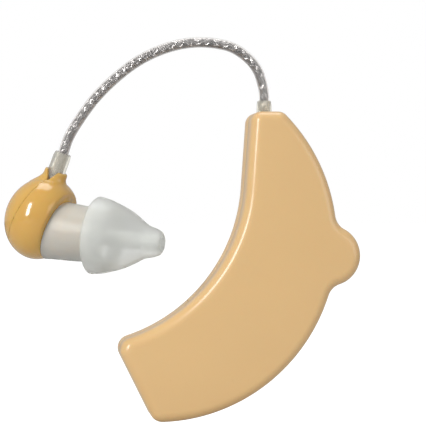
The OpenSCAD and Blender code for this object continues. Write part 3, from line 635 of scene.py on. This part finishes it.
def endBar(name, s0, s1, side0, side1, y0, y1, atS, rounded=0.0, steps=10):
    # bar in the frame of the bottom end, with round ends along its side direction if rounded
    middle = fromEnd(atS, 0)
    outline = []
    if rounded:
        r = (s1 - s0) / 2
        for k in range(steps + 1):
            a = math.pi * k / steps
            outline.append(((s0 + s1) / 2 + r * math.cos(a), side1 - r + r * math.sin(a)))
        for k in range(steps + 1):
            a = math.pi + math.pi * k / steps
            outline.append(((s0 + s1) / 2 + r * math.cos(a), side0 + r + r * math.sin(a)))
    else:
        outline = [(s0, side0), (s1, side0), (s1, side1), (s0, side1)]
    rings = []
    for y in (y0, y1):
        ring = []
        for s, side in outline:
            p = middle + endN * (atS - s) + endM * side
            ring.append(Vector((p.x, y, p.y)))
        rings.append(ring)
    obj = makeObject(name, *skinRings(rings))
    recalcNormals(obj)
    return obj


def buildDoor():
    r = case["edgeR"]
    e = case["seamRound"]
    wall, doorWall = case["wall"], case["doorWall"]
    rings = [doorRing(wall + innerEdgeR * (1 - math.sin(q)), doorWall,
                      rearFloor - innerEdgeR * (1 - math.cos(q))) for q in edgeTurns(4)]
    rings += [doorRing(wall, doorWall, stepY), doorRing(stepInset, doorWall, stepY),
              doorRing(stepInset, doorWall, case["seamGap"]), doorRing(e, e, case["seamGap"]),
              doorRing(0, 0, case["seamGap"] + e)]
    turns = edgeTurns(case["edgeSteps"])
    rings += [doorRing(r * (1 - math.cos(q)), 0, half - r * (1 - math.sin(q))) for q in turns[:-1]]
    rings += [doorRing(r, 0.3 * e, half), doorRing(r + e, e, half)]
    obj = makeObject("batteryDoor", *skinRings(rings))
    recalcNormals(obj)
    mouth = endBar("mouth", doorS - 2 * doorWall, doorS + 0.2, 0.05 + wall - halfWidth(doorS),
                   halfWidth(doorS) - stepInset, -0.2, rearFloor - innerEdgeR - 0.05, doorS)
    cutWith(obj, mouth)
    for k in range(grooves["count"]):
        s = grooves["first"] + k * grooves["pitch"]
        bar = endBar("groove", s, s + grooves["width"], -grooves["halfLength"], grooves["halfLength"],
                     half - grooves["deep"], half + 0.2, grooves["first"], rounded=1)
        cutWith(obj, bar)
    smoothShade(obj, 32)
    return finishPiece(obj, "battery_door", finishes["casePlastic"], "case_plastic", "battery_door")


buildFrontShell()
buildRearShell()
buildDoor()
print("case made")

# Volume wheel: a disc whose grip ridges are placed by geometry nodes

wheel = {"radius": 4.9, "low": 0.25, "top": 2.45, "ridges": 44, "ridgeR": 0.2, "holeR": 1.05,
         "recessR": 1.7, "recessFloor": 1.8, "edge": 0.18}


def buildWheel():
    deep = wheel["ridgeR"]
    r = wheel["radius"] - deep * 0.8
    e = wheel["edge"]
    profile = [(wheel["holeR"], wheel["low"]), (r - e, wheel["low"]), (r, wheel["low"] + e),
               (r, wheel["top"] - e), (r - e, wheel["top"]),
               (wheel["recessR"] + e, wheel["top"]), (wheel["recessR"], wheel["top"] - e),
               (wheel["recessR"], wheel["recessFloor"]), (wheel["holeR"], wheel["recessFloor"])]
    disc = lathe("wheelDisc", profile, 120,
                 lambda v: Vector((lobeAt.x + v.x, v.z, lobeAt.y + v.y)), closed=True)
    tree = bpy.data.node_groups.new("gripRidges", "GeometryNodeTree")
    add, link = tree.nodes.new, tree.links.new
    tree.interface.new_socket(name="Geometry", in_out="OUTPUT", socket_type="NodeSocketGeometry")
    sockets = {}
    for label, kind, value in [("Disc", "NodeSocketGeometry", None), ("Count", "NodeSocketInt", 40),
                               ("Ring Radius", "NodeSocketFloat", 0.005),
                               ("Ridge Radius", "NodeSocketFloat", 0.0002),
                               ("Ridge Length", "NodeSocketFloat", 0.002),
                               ("Center", "NodeSocketVector", (0, 0, 0)),
                               ("Finish", "NodeSocketMaterial", None)]:
        socket = tree.interface.new_socket(name=label, in_out="INPUT", socket_type=kind)
        if value is not None:
            socket.default_value = value
        sockets[label] = socket.identifier
    start, end = add("NodeGroupInput"), add("NodeGroupOutput")
    ring = add("GeometryNodeMeshCircle")
    link(start.outputs["Count"], ring.inputs["Vertices"])
    link(start.outputs["Ring Radius"], ring.inputs["Radius"])
    ridge = add("GeometryNodeMeshCylinder")
    ridge.inputs["Vertices"].default_value = 8
    link(start.outputs["Ridge Radius"], ridge.inputs["Radius"])
    link(start.outputs["Ridge Length"], ridge.inputs["Depth"])
    onRing = add("GeometryNodeInstanceOnPoints")
    link(ring.outputs["Mesh"], onRing.inputs["Points"])
    link(ridge.outputs["Mesh"], onRing.inputs["Instance"])
    place = add("GeometryNodeTransform")  # the ring lies flat; it is turned to face along Y
    place.inputs["Rotation"].default_value = (math.pi / 2, 0, 0)
    link(onRing.outputs["Instances"], place.inputs["Geometry"])
    link(start.outputs["Center"], place.inputs["Translation"])
    both = add("GeometryNodeJoinGeometry")
    link(start.outputs["Disc"], both.inputs["Geometry"])
    link(place.outputs["Geometry"], both.inputs["Geometry"])
    real = add("GeometryNodeRealizeInstances")
    link(both.outputs["Geometry"], real.inputs["Geometry"])
    finish = add("GeometryNodeSetMaterial")
    link(real.outputs["Geometry"], finish.inputs["Geometry"])
    link(start.outputs["Finish"], finish.inputs["Material"])
    link(finish.outputs["Geometry"], end.inputs["Geometry"])
    modifier = disc.modifiers.new("gripRidges", "NODES")
    modifier.node_group = tree
    modifier[sockets["Count"]] = wheel["ridges"]
    modifier[sockets["Ring Radius"]] = r * mm
    modifier[sockets["Ridge Radius"]] = deep * mm
    modifier[sockets["Ridge Length"]] = (wheel["top"] - wheel["low"] - 2 * e) * mm
    modifier[sockets["Center"]] = (lobeAt.x * mm, (wheel["low"] + wheel["top"]) / 2 * mm, lobeAt.y * mm)
    modifier[sockets["Finish"]] = finishes["wheelPlastic"]
    disc.name = "volumeWheel"
    applyModifiers(disc)
    smoothShade(disc, 40)
    return finishPiece(disc, "volume_wheel", finishes["wheelPlastic"], "wheel_plastic", "volume_wheel")


buildWheel()
print("volume wheel made")

# Earpiece

ear = {"at": (-29.23, 2.8, -28.32), "dip": 22.0, "turn": -26.6,
       "bulbR": 7.15, "capReach": 6.2, "faceReach": 3.1, "faceLong": 5.6, "middleX": 2.9,
       "neckR": 2.25, "neckTop": 8.5, "neckX": 2.25, "neckBase": 3.4, "seamTilt": 9.0,
       "slitW": 1.3, "slitDeep": 1.9, "sleeveHoleR": 1.55, "voxel": 0.15, "smoothing": 14,
       "seamDeep": 0.09, "seamWide": 0.14, "seatDrop": 1.0, "tipX": 5.6, "tipTilt": 15.5,
       "snoutR": 4.45, "snoutLen": 7.4, "snoutEndShare": 0.9, "snoutBore": 2.9}
neckShares = [(0.88, 1), (0.9, 0.79), (1.04, 0.68), (1.22, 0.58), (1.42, 0.49), (1.65, 0.37),
              (1.82, 0.22), (1.9, 0)]
earMatrix = (Matrix.Translation(Vector(ear["at"]))
             @ Matrix.Rotation(math.radians(ear["turn"]), 4, "Z")
             @ Matrix.Rotation(math.radians(ear["dip"]), 4, "Y"))
tipMatrix = (earMatrix @ Matrix.Translation(Vector((ear["tipX"], 0, -ear["seatDrop"])))
             @ Matrix.Rotation(math.radians(90 - ear["tipTilt"]), 4, "Y"))
seatX = ear["middleX"] + ear["faceReach"]


def inEar(v):
    return earMatrix @ Vector(v)


def onTip(v):
    return tipMatrix @ Vector(v)


def alongBody(v):
    # lathe axis laid along the body's axis, from its back to its face
    return inEar((v.z, v.x, v.y))


def alongNeck(v):
    return inEar((v.x + ear["neckX"], v.y, v.z))


def buildEarpiece():
    steps = 20
    back = [(ear["bulbR"] * math.cos(math.pi / 2 * k / steps),
             ear["middleX"] - ear["capReach"] * math.sin(math.pi / 2 * k / steps))
            for k in range(steps + 1)]
    back[-1] = (0, back[-1][1])
    front = []
    for k in range(6, 0, -1):
        z = ear["faceReach"] * k / 6
        front.append((ear["bulbR"] * math.sqrt(1 - (z / ear["faceLong"]) ** 2), ear["middleX"] + z))
    bulb = lathe("earpieceBody", [(0, seatX)] + front + back, 96, alongBody)
    span = ear["neckTop"] - ear["neckBase"]
    neckProfile = [(0, ear["neckBase"])] + [
        (ear["neckR"] * r, ear["neckBase"] + span * h) for r, h in reversed(neckShares)] + [
        (0, ear["neckTop"])]
    neck = lathe("neck", neckProfile, 64, alongNeck)
    cutWith(bulb, neck, "UNION")
    remesh = bulb.modifiers.new("even", "REMESH")
    remesh.mode = "VOXEL"
    remesh.voxel_size = ear["voxel"] * mm
    smooth = bulb.modifiers.new("soften", "SMOOTH")
    smooth.iterations = ear["smoothing"]
    smooth.factor = 0.5
    applyModifiers(bulb)
    hole = lathe("hole", [(0, 4.3), (ear["sleeveHoleR"], 4.3), (ear["sleeveHoleR"], 12), (0, 12)], 48,
                 alongNeck)
    slitPoints = [(-ear["slitW"], 0.4), (0, -ear["slitDeep"]), (ear["slitW"], 0.4)]
    rings = [[inEar((x + ear["neckX"], y, z + ear["neckTop"])) for x, z in slitPoints]
             for y in (-6, 6)]
    slit = makeObject("slit", *skinRings(rings))
    recalcNormals(slit)
    cutWith(bulb, hole)
    cutWith(bulb, slit)
    # the seam runs through the neck's axis; both halves draw in to it
    tilt = math.radians(ear["seamTilt"])
    seamPoint = inEar((ear["neckX"], 0, ear["neckTop"])) * mm
    seamNormal = (earMatrix.to_3x3() @ Vector((math.cos(tilt), 0, -math.sin(tilt)))).normalized()
    halves = []
    for side, name in ((1, "receiverCup"), (-1, "receiverCap")):
        bm = bmesh.new()
        bm.from_mesh(bulb.data)
        for shift in (0, ear["seamWide"] * mm, 2 * ear["seamWide"] * mm):
            geom = bm.verts[:] + bm.edges[:] + bm.faces[:]
            bmesh.ops.bisect_plane(bm, geom=geom, dist=1e-8,
                                   plane_co=seamPoint + seamNormal * side * shift,
                                   plane_no=seamNormal * side, clear_inner=shift == 0)
        rimVerts = [v for v in bm.verts if v.is_boundary]
        bm.normal_update()
        for v in rimVerts:
            inward = v.normal - seamNormal * v.normal.dot(seamNormal)
            if inward.length > 1e-6:
                v.co -= inward.normalized() * ear["seamDeep"] * mm
        edges = [e for e in bm.edges if e.is_boundary]
        bmesh.ops.holes_fill(bm, edges=edges, sides=0)
        bmesh.ops.recalc_face_normals(bm, faces=bm.faces)
        mesh = bpy.data.meshes.new(name)
        bm.to_mesh(mesh)
        bm.free()
        obj = bpy.data.objects.new(name, mesh)
        bpy.context.scene.collection.objects.link(obj)
        halves.append(obj)
    bpy.data.objects.remove(bulb)
    cup, cap = halves
    end = ear["snoutR"] * ear["snoutEndShare"]
    profile = [(ear["snoutBore"], -2.0), (ear["snoutR"], -2.0), (ear["snoutR"], 0.6),
               (end, ear["snoutLen"] - 0.25), (end - 0.25, ear["snoutLen"]),
               (3.25, ear["snoutLen"]), (3.25, ear["snoutLen"] - 0.3),
               (ear["snoutBore"], ear["snoutLen"] - 0.3)]
    snout = lathe("snout", profile, 72, onTip, closed=True)
    bm = bmesh.new()
    bm.from_mesh(cup.data)
    bm.from_mesh(snout.data)
    bm.to_mesh(cup.data)
    bm.free()
    bpy.data.objects.remove(snout)
    for obj in halves:
        smoothShade(obj, 40)
    finishPiece(cup, "earpiece", finishes["bulbPlastic"], "earpiece_plastic", "receiver_cup")
    finishPiece(cap, "earpiece", finishes["bulbPlastic"], "earpiece_plastic", "receiver_cap")


buildEarpiece()
print("earpiece made")

# Ear tip

tip = {"length": 19.65, "flangeR": 6.55, "rimR": 5.05, "sleeveWall": 0.5, "gap": 0.08,
       "skirtWall": 0.6, "skirtTip": 0.15, "pocketShare": 0.55, "skirtShare": 0.39, "boreR": 1.25,
       "endRoom": 0.24}
domeShares = [(1, 0.397), (0.985, 0.43), (0.945, 0.497), (0.82, 0.62), (0.734, 0.687),
              (0.594, 0.768), (0.45, 0.845), (0.396, 0.9), (0.35, 0.95), (0.29, 0.985)]
underShares = [(0.8, 0.53), (0.88, 0.45)]


def softCurve(points, parts):
    # smooth run through points, Catmull-Rom
    out = []
    for i in range(len(points) - 1):
        p, q = points[max(i - 1, 0)], points[i]
        r, s = points[i + 1], points[min(i + 2, len(points) - 1)]
        for k in range(parts):
            t = k / parts
            out.append((2 * q + (r - p) * t + (2 * p - 5 * q + 4 * r - s) * t ** 2
                        + (3 * q - p - 3 * r + s) * t ** 3) / 2)
    return out + [points[-1]]


def buildTip():
    length, flange = tip["length"], tip["flangeR"]
    cavity = ear["snoutR"] * ear["snoutEndShare"] + tip["gap"]
    slim = cavity + tip["sleeveWall"]
    skirt = length * tip["skirtShare"]
    outside = [Vector((tip["rimR"], 0)),
               Vector((tip["rimR"] - 0.1, 1.2)),
               Vector((slim + 0.25, skirt * 0.5)),
               Vector((slim, skirt)),
               Vector((slim, length * underShares[0][1])),
               Vector((slim + tip["skirtWall"] / 4, length * tip["pocketShare"]))]
    outside += [Vector((flange * r, length * h)) for r, h in underShares]
    outside += [Vector((flange - tip["skirtWall"], skirt)),
                Vector((flange - tip["skirtWall"] / 2, skirt - tip["skirtTip"])),
                Vector((flange - tip["skirtWall"] / 8, skirt))]
    dome = [Vector((flange * r, length * h)) for r, h in domeShares]
    nozzle = [Vector((tip["boreR"] + 0.12, length)), Vector((tip["boreR"], length - 0.12))]
    bore = [Vector((tip["boreR"], ear["snoutLen"] + tip["endRoom"])),
            Vector((cavity, ear["snoutLen"] + tip["endRoom"])),
            Vector((ear["snoutR"] + tip["gap"], 0))]
    first = softCurve(outside[:5], 4)
    fold = softCurve(outside[4:8], 3)[1:]
    lip = softCurve(outside[7:] + dome[:1], 3)[1:]
    rounded = softCurve(dome + nozzle, 4)[1:]
    profile = first + fold + lip + rounded + bore
    steps = 112
    baseX = seatX + tip["gap"]
    fade = 3.0  # the sleeve's foot leans to the oblique seat over this length
    toEar = earMatrix.inverted() @ tipMatrix
    rings = []
    for p in profile:
        ring = []
        for k in range(steps):
            turn = polar(360 * k / steps) * p.x
            low = toEar @ Vector((turn.x, turn.y, 0))
            axisX = (toEar.to_3x3() @ Vector((0, 0, 1))).x
            foot = (baseX - low.x) / axisX
            height = p.y
            if height < fade:
                height = foot + (fade - foot) * (height / fade)
            ring.append(onTip((turn.x, turn.y, height)))
        rings.append(ring)
    obj = makeObject("earTip", *skinRings(rings, looped=True))
    recalcNormals(obj)
    smoothShade(obj, 45)
    return finishPiece(obj, "ear_tip", finishes["tipSilicone"], "tip_silicone", "ear_tip")


buildTip()
print("ear tip made")

# Lead

lead = {"jacketR": 0.9, "jacketWall": 0.12, "braidR": 0.66, "coreR": 0.56, "strandR": 0.06,
        "strands": 24, "pitch": 4.0, "weave": 0.035, "step": 0.09, "sides": 28}
routeHand = [(11.25, 0, -14), (11.25, 0, -12), (11.25, 0, -10), (11.25, 0, -8), (10.9, 0, -6),
             (10.1, 0, -3.7), (8.4, 0, -1.6), (5.8, 0, 0.1), (2.9, 0, 0.8), (-0.5, 0, 0.95),
             (-4.1, 0, 0.4), (-7.8, 0, -0.9), (-11.4, 0, -2.9), (-15, 0, -5.8), (-18.1, 0, -9),
             (-20.8, 0, -12.7), (-22.5, 0, -15.6)]
route = [Vector(p) for p in routeHand] + [inEar((ear["neckX"], 0, t)) for t in (11.7, 9.5, 7.3, 5.4)]
pointSteps = 8
leadLine = softCurve(route, pointSteps)


def tubeRing(line, i, radius, sides, shift=0.0):
    tangent = (line[min(i + 1, len(line) - 1)] - line[max(i - 1, 0)]).normalized()
    u = (Vector((0, 1, 0)) - tangent * tangent.y).normalized()
    v = tangent.cross(u)
    return [line[i] + u * (radius * math.cos(2 * math.pi * k / sides) + shift)
            + v * (radius * math.sin(2 * math.pi * k / sides)) for k in range(sides)]


def pipe(name, line, radius, bore, sides):
    outside = [tubeRing(line, i, radius, sides) for i in range(len(line))]
    inside = [tubeRing(line, i, bore, sides) for i in reversed(range(len(line)))]
    obj = makeObject(name, *skinRings(outside + inside, looped=True))
    recalcNormals(obj)
    smoothShade(obj, 45)
    return obj


def buildBraid():
    # strands wound both ways round the lead's line, each passing over and under the others
    curve = bpy.data.curves.new("leadPath", "CURVE")
    curve.dimensions = "3D"
    spline = curve.splines.new("POLY")
    spline.points.add(len(leadLine) - 1)
    for point, place in zip(spline.points, leadLine):
        point.co = (*(place * mm), 1)
    path = bpy.data.objects.new("leadPath", curve)
    bpy.context.scene.collection.objects.link(path)

    tree = bpy.data.node_groups.new("braidStrands", "GeometryNodeTree")
    add, link = tree.nodes.new, tree.links.new
    tree.interface.new_socket(name="Geometry", in_out="OUTPUT", socket_type="NodeSocketGeometry")
    sockets = {}
    for label, kind, value in [("Path", "NodeSocketGeometry", None), ("Strands", "NodeSocketInt", 16),
                               ("Braid Radius", "NodeSocketFloat", 0.0007),
                               ("Strand Radius", "NodeSocketFloat", 0.0001),
                               ("Pitch", "NodeSocketFloat", 0.004),
                               ("Weave", "NodeSocketFloat", 0.00005),
                               ("Step", "NodeSocketFloat", 0.0001),
                               ("Finish", "NodeSocketMaterial", None)]:
        socket = tree.interface.new_socket(name=label, in_out="INPUT", socket_type=kind)
        if value is not None:
            socket.default_value = value
        sockets[label] = socket.identifier
    start, end = add("NodeGroupInput"), add("NodeGroupOutput")

    def math2(operation, a, b):
        node = add("ShaderNodeMath")
        node.operation = operation
        for slotNumber, value in enumerate((a, b)):
            if value is None:
                continue
            if isinstance(value, (int, float)):
                node.inputs[slotNumber].default_value = value
            else:
                link(value, node.inputs[slotNumber])
        return node.outputs[0]

    resample = add("GeometryNodeResampleCurve")
    resample.mode = "LENGTH"
    link(start.outputs["Path"], resample.inputs["Curve"])
    link(start.outputs["Step"], resample.inputs["Length"])
    normal = add("GeometryNodeInputNormal")
    tangent = add("GeometryNodeInputTangent")
    along = add("GeometryNodeSplineParameter")
    keepNormal = add("GeometryNodeCaptureAttribute")
    keepNormal.domain = "POINT"
    keepNormal.capture_items.new("VECTOR", "normal")
    keepNormal.capture_items.new("VECTOR", "tangent")
    keepNormal.capture_items.new("FLOAT", "length")
    link(resample.outputs["Curve"], keepNormal.inputs["Geometry"])
    link(normal.outputs["Normal"], keepNormal.inputs[1])
    link(tangent.outputs["Tangent"], keepNormal.inputs[2])
    link(along.outputs["Length"], keepNormal.inputs[3])
    copies = add("GeometryNodeDuplicateElements")
    copies.domain = "SPLINE"
    link(keepNormal.outputs["Geometry"], copies.inputs["Geometry"])
    link(start.outputs["Strands"], copies.inputs["Amount"])
    index = copies.outputs["Duplicate Index"]
    parity = math2("MODULO", index, 2)
    direction = math2("MULTIPLY_ADD", parity, 2)
    direction.node.inputs[2].default_value = -1
    pairNumber = math2("FLOOR", math2("DIVIDE", index, 2), None)
    perSide = math2("DIVIDE", start.outputs["Strands"], 2)
    startTurn = math2("MULTIPLY", math2("DIVIDE", pairNumber, perSide), 2 * math.pi)
    wound = math2("MULTIPLY", math2("DIVIDE", keepNormal.outputs[3], start.outputs["Pitch"]), 2 * math.pi)
    angle = math2("ADD", math2("MULTIPLY", wound, direction), startTurn)
    crossing = math2("MULTIPLY", wound, perSide)
    wave = math2("SINE", math2("ADD", crossing, math2("MULTIPLY", pairNumber, math.pi)), None)
    lift = math2("MULTIPLY", math2("MULTIPLY", wave, direction), start.outputs["Weave"])
    radius = math2("ADD", start.outputs["Braid Radius"], lift)
    binormal = add("ShaderNodeVectorMath")
    binormal.operation = "CROSS_PRODUCT"
    link(keepNormal.outputs[2], binormal.inputs[0])
    link(keepNormal.outputs[1], binormal.inputs[1])

    def scaled(vector, factor):
        node = add("ShaderNodeVectorMath")
        node.operation = "SCALE"
        link(vector, node.inputs[0])
        link(factor, node.inputs["Scale"])
        return node.outputs[0]

    offset = add("ShaderNodeVectorMath")
    offset.operation = "ADD"
    link(scaled(keepNormal.outputs[1], math2("MULTIPLY", radius, math2("COSINE", angle, None))),
         offset.inputs[0])
    link(scaled(binormal.outputs[0], math2("MULTIPLY", radius, math2("SINE", angle, None))),
         offset.inputs[1])
    move = add("GeometryNodeSetPosition")
    link(copies.outputs["Geometry"], move.inputs["Geometry"])
    link(offset.outputs[0], move.inputs["Offset"])
    section = add("GeometryNodeCurvePrimitiveCircle")
    section.inputs["Resolution"].default_value = 5
    link(start.outputs["Strand Radius"], section.inputs["Radius"])
    strands = add("GeometryNodeCurveToMesh")
    strands.inputs["Fill Caps"].default_value = True
    link(move.outputs["Geometry"], strands.inputs["Curve"])
    link(section.outputs["Curve"], strands.inputs["Profile Curve"])
    real = add("GeometryNodeRealizeInstances")
    link(strands.outputs["Mesh"], real.inputs["Geometry"])
    finish = add("GeometryNodeSetMaterial")
    link(real.outputs["Geometry"], finish.inputs["Geometry"])
    link(start.outputs["Finish"], finish.inputs["Material"])
    link(finish.outputs["Geometry"], end.inputs["Geometry"])

    modifier = path.modifiers.new("braidStrands", "NODES")
    modifier.node_group = tree
    modifier[sockets["Strands"]] = lead["strands"]
    modifier[sockets["Braid Radius"]] = lead["braidR"] * mm
    modifier[sockets["Strand Radius"]] = lead["strandR"] * mm
    modifier[sockets["Pitch"]] = lead["pitch"] * mm
    modifier[sockets["Weave"]] = lead["weave"] * mm
    modifier[sockets["Step"]] = lead["step"] * mm
    modifier[sockets["Finish"]] = finishes["braidStrand"]
    mesh = bpy.data.meshes.new_from_object(path.evaluated_get(bpy.context.evaluated_depsgraph_get()))
    bpy.data.objects.remove(path)
    braid = bpy.data.objects.new("leadBraid", mesh)
    bpy.context.scene.collection.objects.link(braid)
    smoothShade(braid, 60)
    braid.data.materials.clear()
    braid.data.materials.append(finishes["braidStrand"])
    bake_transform(braid)
    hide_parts("lead_braid")
    # the near-black core paints the shade between the braid's strands
    core = pipe("leadShadeCore", leadLine, lead["coreR"], lead["coreR"] - 0.1, 16)
    core.data.materials.append(finishes["braidShadeCore"])
    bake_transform(core)
    return braid


def buildJacket():
    jacket = pipe("leadJacket", leadLine, lead["jacketR"], lead["jacketR"] - lead["jacketWall"],
                  lead["sides"])
    jacket.data.materials.append(finishes["clearVinyl"])
    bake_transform(jacket)
    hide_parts("lead_jacket")


wires = {"r": 0.2, "shift": 0.23, "sides": 10}
wiresFromBoard = [(12.25, -1.6, -18), (11.85, -0.8, -16.8), (11.35, -0.5, -15.6)]
wiresToReceiver = [(1.6, 0, 4.6), (0.85, 0, 3.7), (0.85, 0, 2)]


def buildWires():
    # two coated wires inside the braid, from the board to the receiver, bent with the lead
    line = softCurve([Vector(p) for p in wiresFromBoard] + route
                     + [inEar(p) for p in wiresToReceiver], pointSteps)
    verts, faces = [], []
    for side in (-1, 1):
        rings = [tubeRing(line, i, wires["r"], wires["sides"], side * wires["shift"])
                 for i in range(len(line))]
        tubeVerts, tubeFaces = skinRings(rings)
        faces += [tuple(len(verts) + k for k in face) for face in tubeFaces]
        verts += tubeVerts
    obj = makeObject("leadWires", verts, faces)
    recalcNormals(obj)
    smoothShade(obj, 45)
    obj.data.materials.append(finishes["copperCoat"])
    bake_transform(obj)
    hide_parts("lead_wires")


caseSleeve = {"outR": 1.3, "boreR": 0.95, "over": 0.2, "foot": -13.2, "top": -9.0}
earSleeve = {"outR": 1.5, "boreR": 0.95, "over": 0.14, "foot": 4.6, "top": 11.7}
sleeveEnds = {"flange": 0.6, "drawIn": 0.14, "round": 0.1}


def buildSleeve(name, sleeve, place, body, node):
    r, o, foot, top = sleeve["outR"], sleeve["over"], sleeve["foot"], sleeve["top"]
    f, d, e = sleeveEnds["flange"], sleeveEnds["drawIn"], sleeveEnds["round"]
    profile = [(sleeve["boreR"], foot), (r + o - e, foot), (r + o, foot + e), (r + o, foot + f - e),
               (r + o - e, foot + f), (r, foot + f + e), (r, top - f - 0.5), (r - 0.03, top - f),
               (r - d + 0.02, top - e), (r - d - e, top), (sleeve["boreR"] + e / 2, top),
               (sleeve["boreR"], top - e)]
    obj = lathe(name, profile, 56, place, closed=True)
    finishPiece(obj, body, finishes["clearSleeve"], "clear_sleeve", node)


buildBraid()
buildJacket()
buildWires()
buildSleeve("caseSleeve", caseSleeve, lambda v: Vector((v.x + case["leadX"], v.y, v.z)), "case",
            "case_lead_sleeve")
buildSleeve("earpieceSleeve", earSleeve, alongNeck, "earpiece", "earpiece_sleeve")
print("lead made")

# Carried over inner pieces

innerFinishes = {
    "button_cell": "canSteel", "battery_minus_contact": "contactBrass",
    "battery_plus_contact": "contactBrass", "circuit_board": "boardLaminate",
    "amplifier_chip": "chipResin", "board_capacitors": "capacitorCan",
    "board_resistors": "chipResin", "microphone_capsule": "canSteel",
    "microphone_boot": "blackRubber", "microphone_pins": "contactBrass",
    "volume_pot": "blackRubber", "wheel_screw": "canSteel",
    "receiver_capsule": "canSteel", "receiver_gasket": "blackRubber", "snout_screen": "canSteel",
}
for nodeName, finishName in innerFinishes.items():
    part = nodes[nodeName]
    if part.data.materials:
        for number in range(len(part.data.materials)):
            part.data.materials[number] = finishes[finishName]
    else:
        part.data.materials.append(finishes[finishName])
print("inner pieces finished")

# Floor, light and camera

studio = {"floorZ": -66.5, "floorSize": 4000, "ambient": 0.42, "glossy": 0.5, "floorTone": 0.6,
          "floorGlow": 0.85, "key": 1.3, "fill": 0.3, "top": 0.5}


def buildStage():
    z = studio["floorZ"]
    s = studio["floorSize"]
    floor = makeObject("floor", [(-s, -s, z), (s, -s, z), (s, s, z), (-s, s, z)], [(0, 1, 2, 3)])
    material = bpy.data.materials.new("paleFloor")
    material.use_nodes = True
    tree = material.node_tree
    shader = tree.nodes["Principled BSDF"]
    shader.inputs["Base Color"].default_value = (*[studio["floorTone"]] * 3, 1)
    shader.inputs["Roughness"].default_value = 0.9
    shader.inputs["Specular IOR Level"].default_value = 0.0
    seen = tree.nodes.new("ShaderNodeLightPath")
    level = tree.nodes.new("ShaderNodeMath")
    level.operation = "MULTIPLY"
    level.inputs[1].default_value = studio["floorGlow"]
    tree.links.new(seen.outputs["Is Camera Ray"], level.inputs[0])
    shader.inputs["Emission Color"].default_value = (1, 1, 1, 1)
    tree.links.new(level.outputs[0], shader.inputs["Emission Strength"])
    floor.data.materials.append(material)

    world = bpy.data.worlds.new("paleWorld")
    bpy.context.scene.world = world
    world.use_nodes = True
    wtree = world.node_tree
    back = wtree.nodes["Background"]
    back.inputs["Color"].default_value = (1, 1, 1, 1)
    rays = wtree.nodes.new("ShaderNodeLightPath")
    seen = wtree.nodes.new("ShaderNodeMath")  # white to the eye, straight or through a clear piece
    seen.operation = "MAXIMUM"
    wtree.links.new(rays.outputs["Is Camera Ray"], seen.inputs[0])
    wtree.links.new(rays.outputs["Is Transmission Ray"], seen.inputs[1])
    mirrored = wtree.nodes.new("ShaderNodeMapRange")
    mirrored.inputs["To Min"].default_value = studio["ambient"]
    mirrored.inputs["To Max"].default_value = studio["glossy"]
    wtree.links.new(rays.outputs["Is Glossy Ray"], mirrored.inputs["Value"])
    strength = wtree.nodes.new("ShaderNodeMapRange")
    strength.inputs["To Max"].default_value = 1
    wtree.links.new(mirrored.outputs["Result"], strength.inputs["To Min"])
    wtree.links.new(seen.outputs[0], strength.inputs["Value"])
    wtree.links.new(strength.outputs["Result"], back.inputs["Strength"])


def areaLight(name, place, size, watts):
    light = bpy.data.lights.new(name, "AREA")
    light.shape = "RECTANGLE"
    light.size, light.size_y = size[0] * mm, size[1] * mm
    light.energy = watts
    obj = bpy.data.objects.new(name, light)
    bpy.context.scene.collection.objects.link(obj)
    obj.location = Vector(place) * mm
    aim = Vector((-5, 0, -32)) * mm - obj.location
    obj.rotation_euler = aim.to_track_quat("-Z", "Y").to_euler()


buildStage()
areaLight("keyLight", (-300, -300, 150), (90, 260), studio["key"])
areaLight("fillLight", (320, -260, 20), (260, 260), studio["fill"])
areaLight("topLight", (20, 60, 380), (260, 200), studio["top"])

view = {"place": (-32.85, -221.73, -28.45), "turn": 9.0, "focal": 1300.0, "imageSide": 426.0,
        "sensor": 36.0}
camera = bpy.data.cameras.new("camera")
camera.sensor_width = view["sensor"]
camera.lens = view["focal"] / view["imageSide"] * view["sensor"]
camera.clip_start = 0.005
cameraObject = bpy.data.objects.new("camera", camera)
bpy.context.scene.collection.objects.link(cameraObject)
cameraObject.location = Vector(view["place"]) * mm
sight = Vector((math.sin(math.radians(view["turn"])), math.cos(math.radians(view["turn"])), 0))
cameraObject.rotation_euler = sight.to_track_quat("-Z", "Y").to_euler()
bpy.context.scene.camera = cameraObject
bpy.context.scene.view_settings.view_transform = "Standard"
print("stage and camera made")
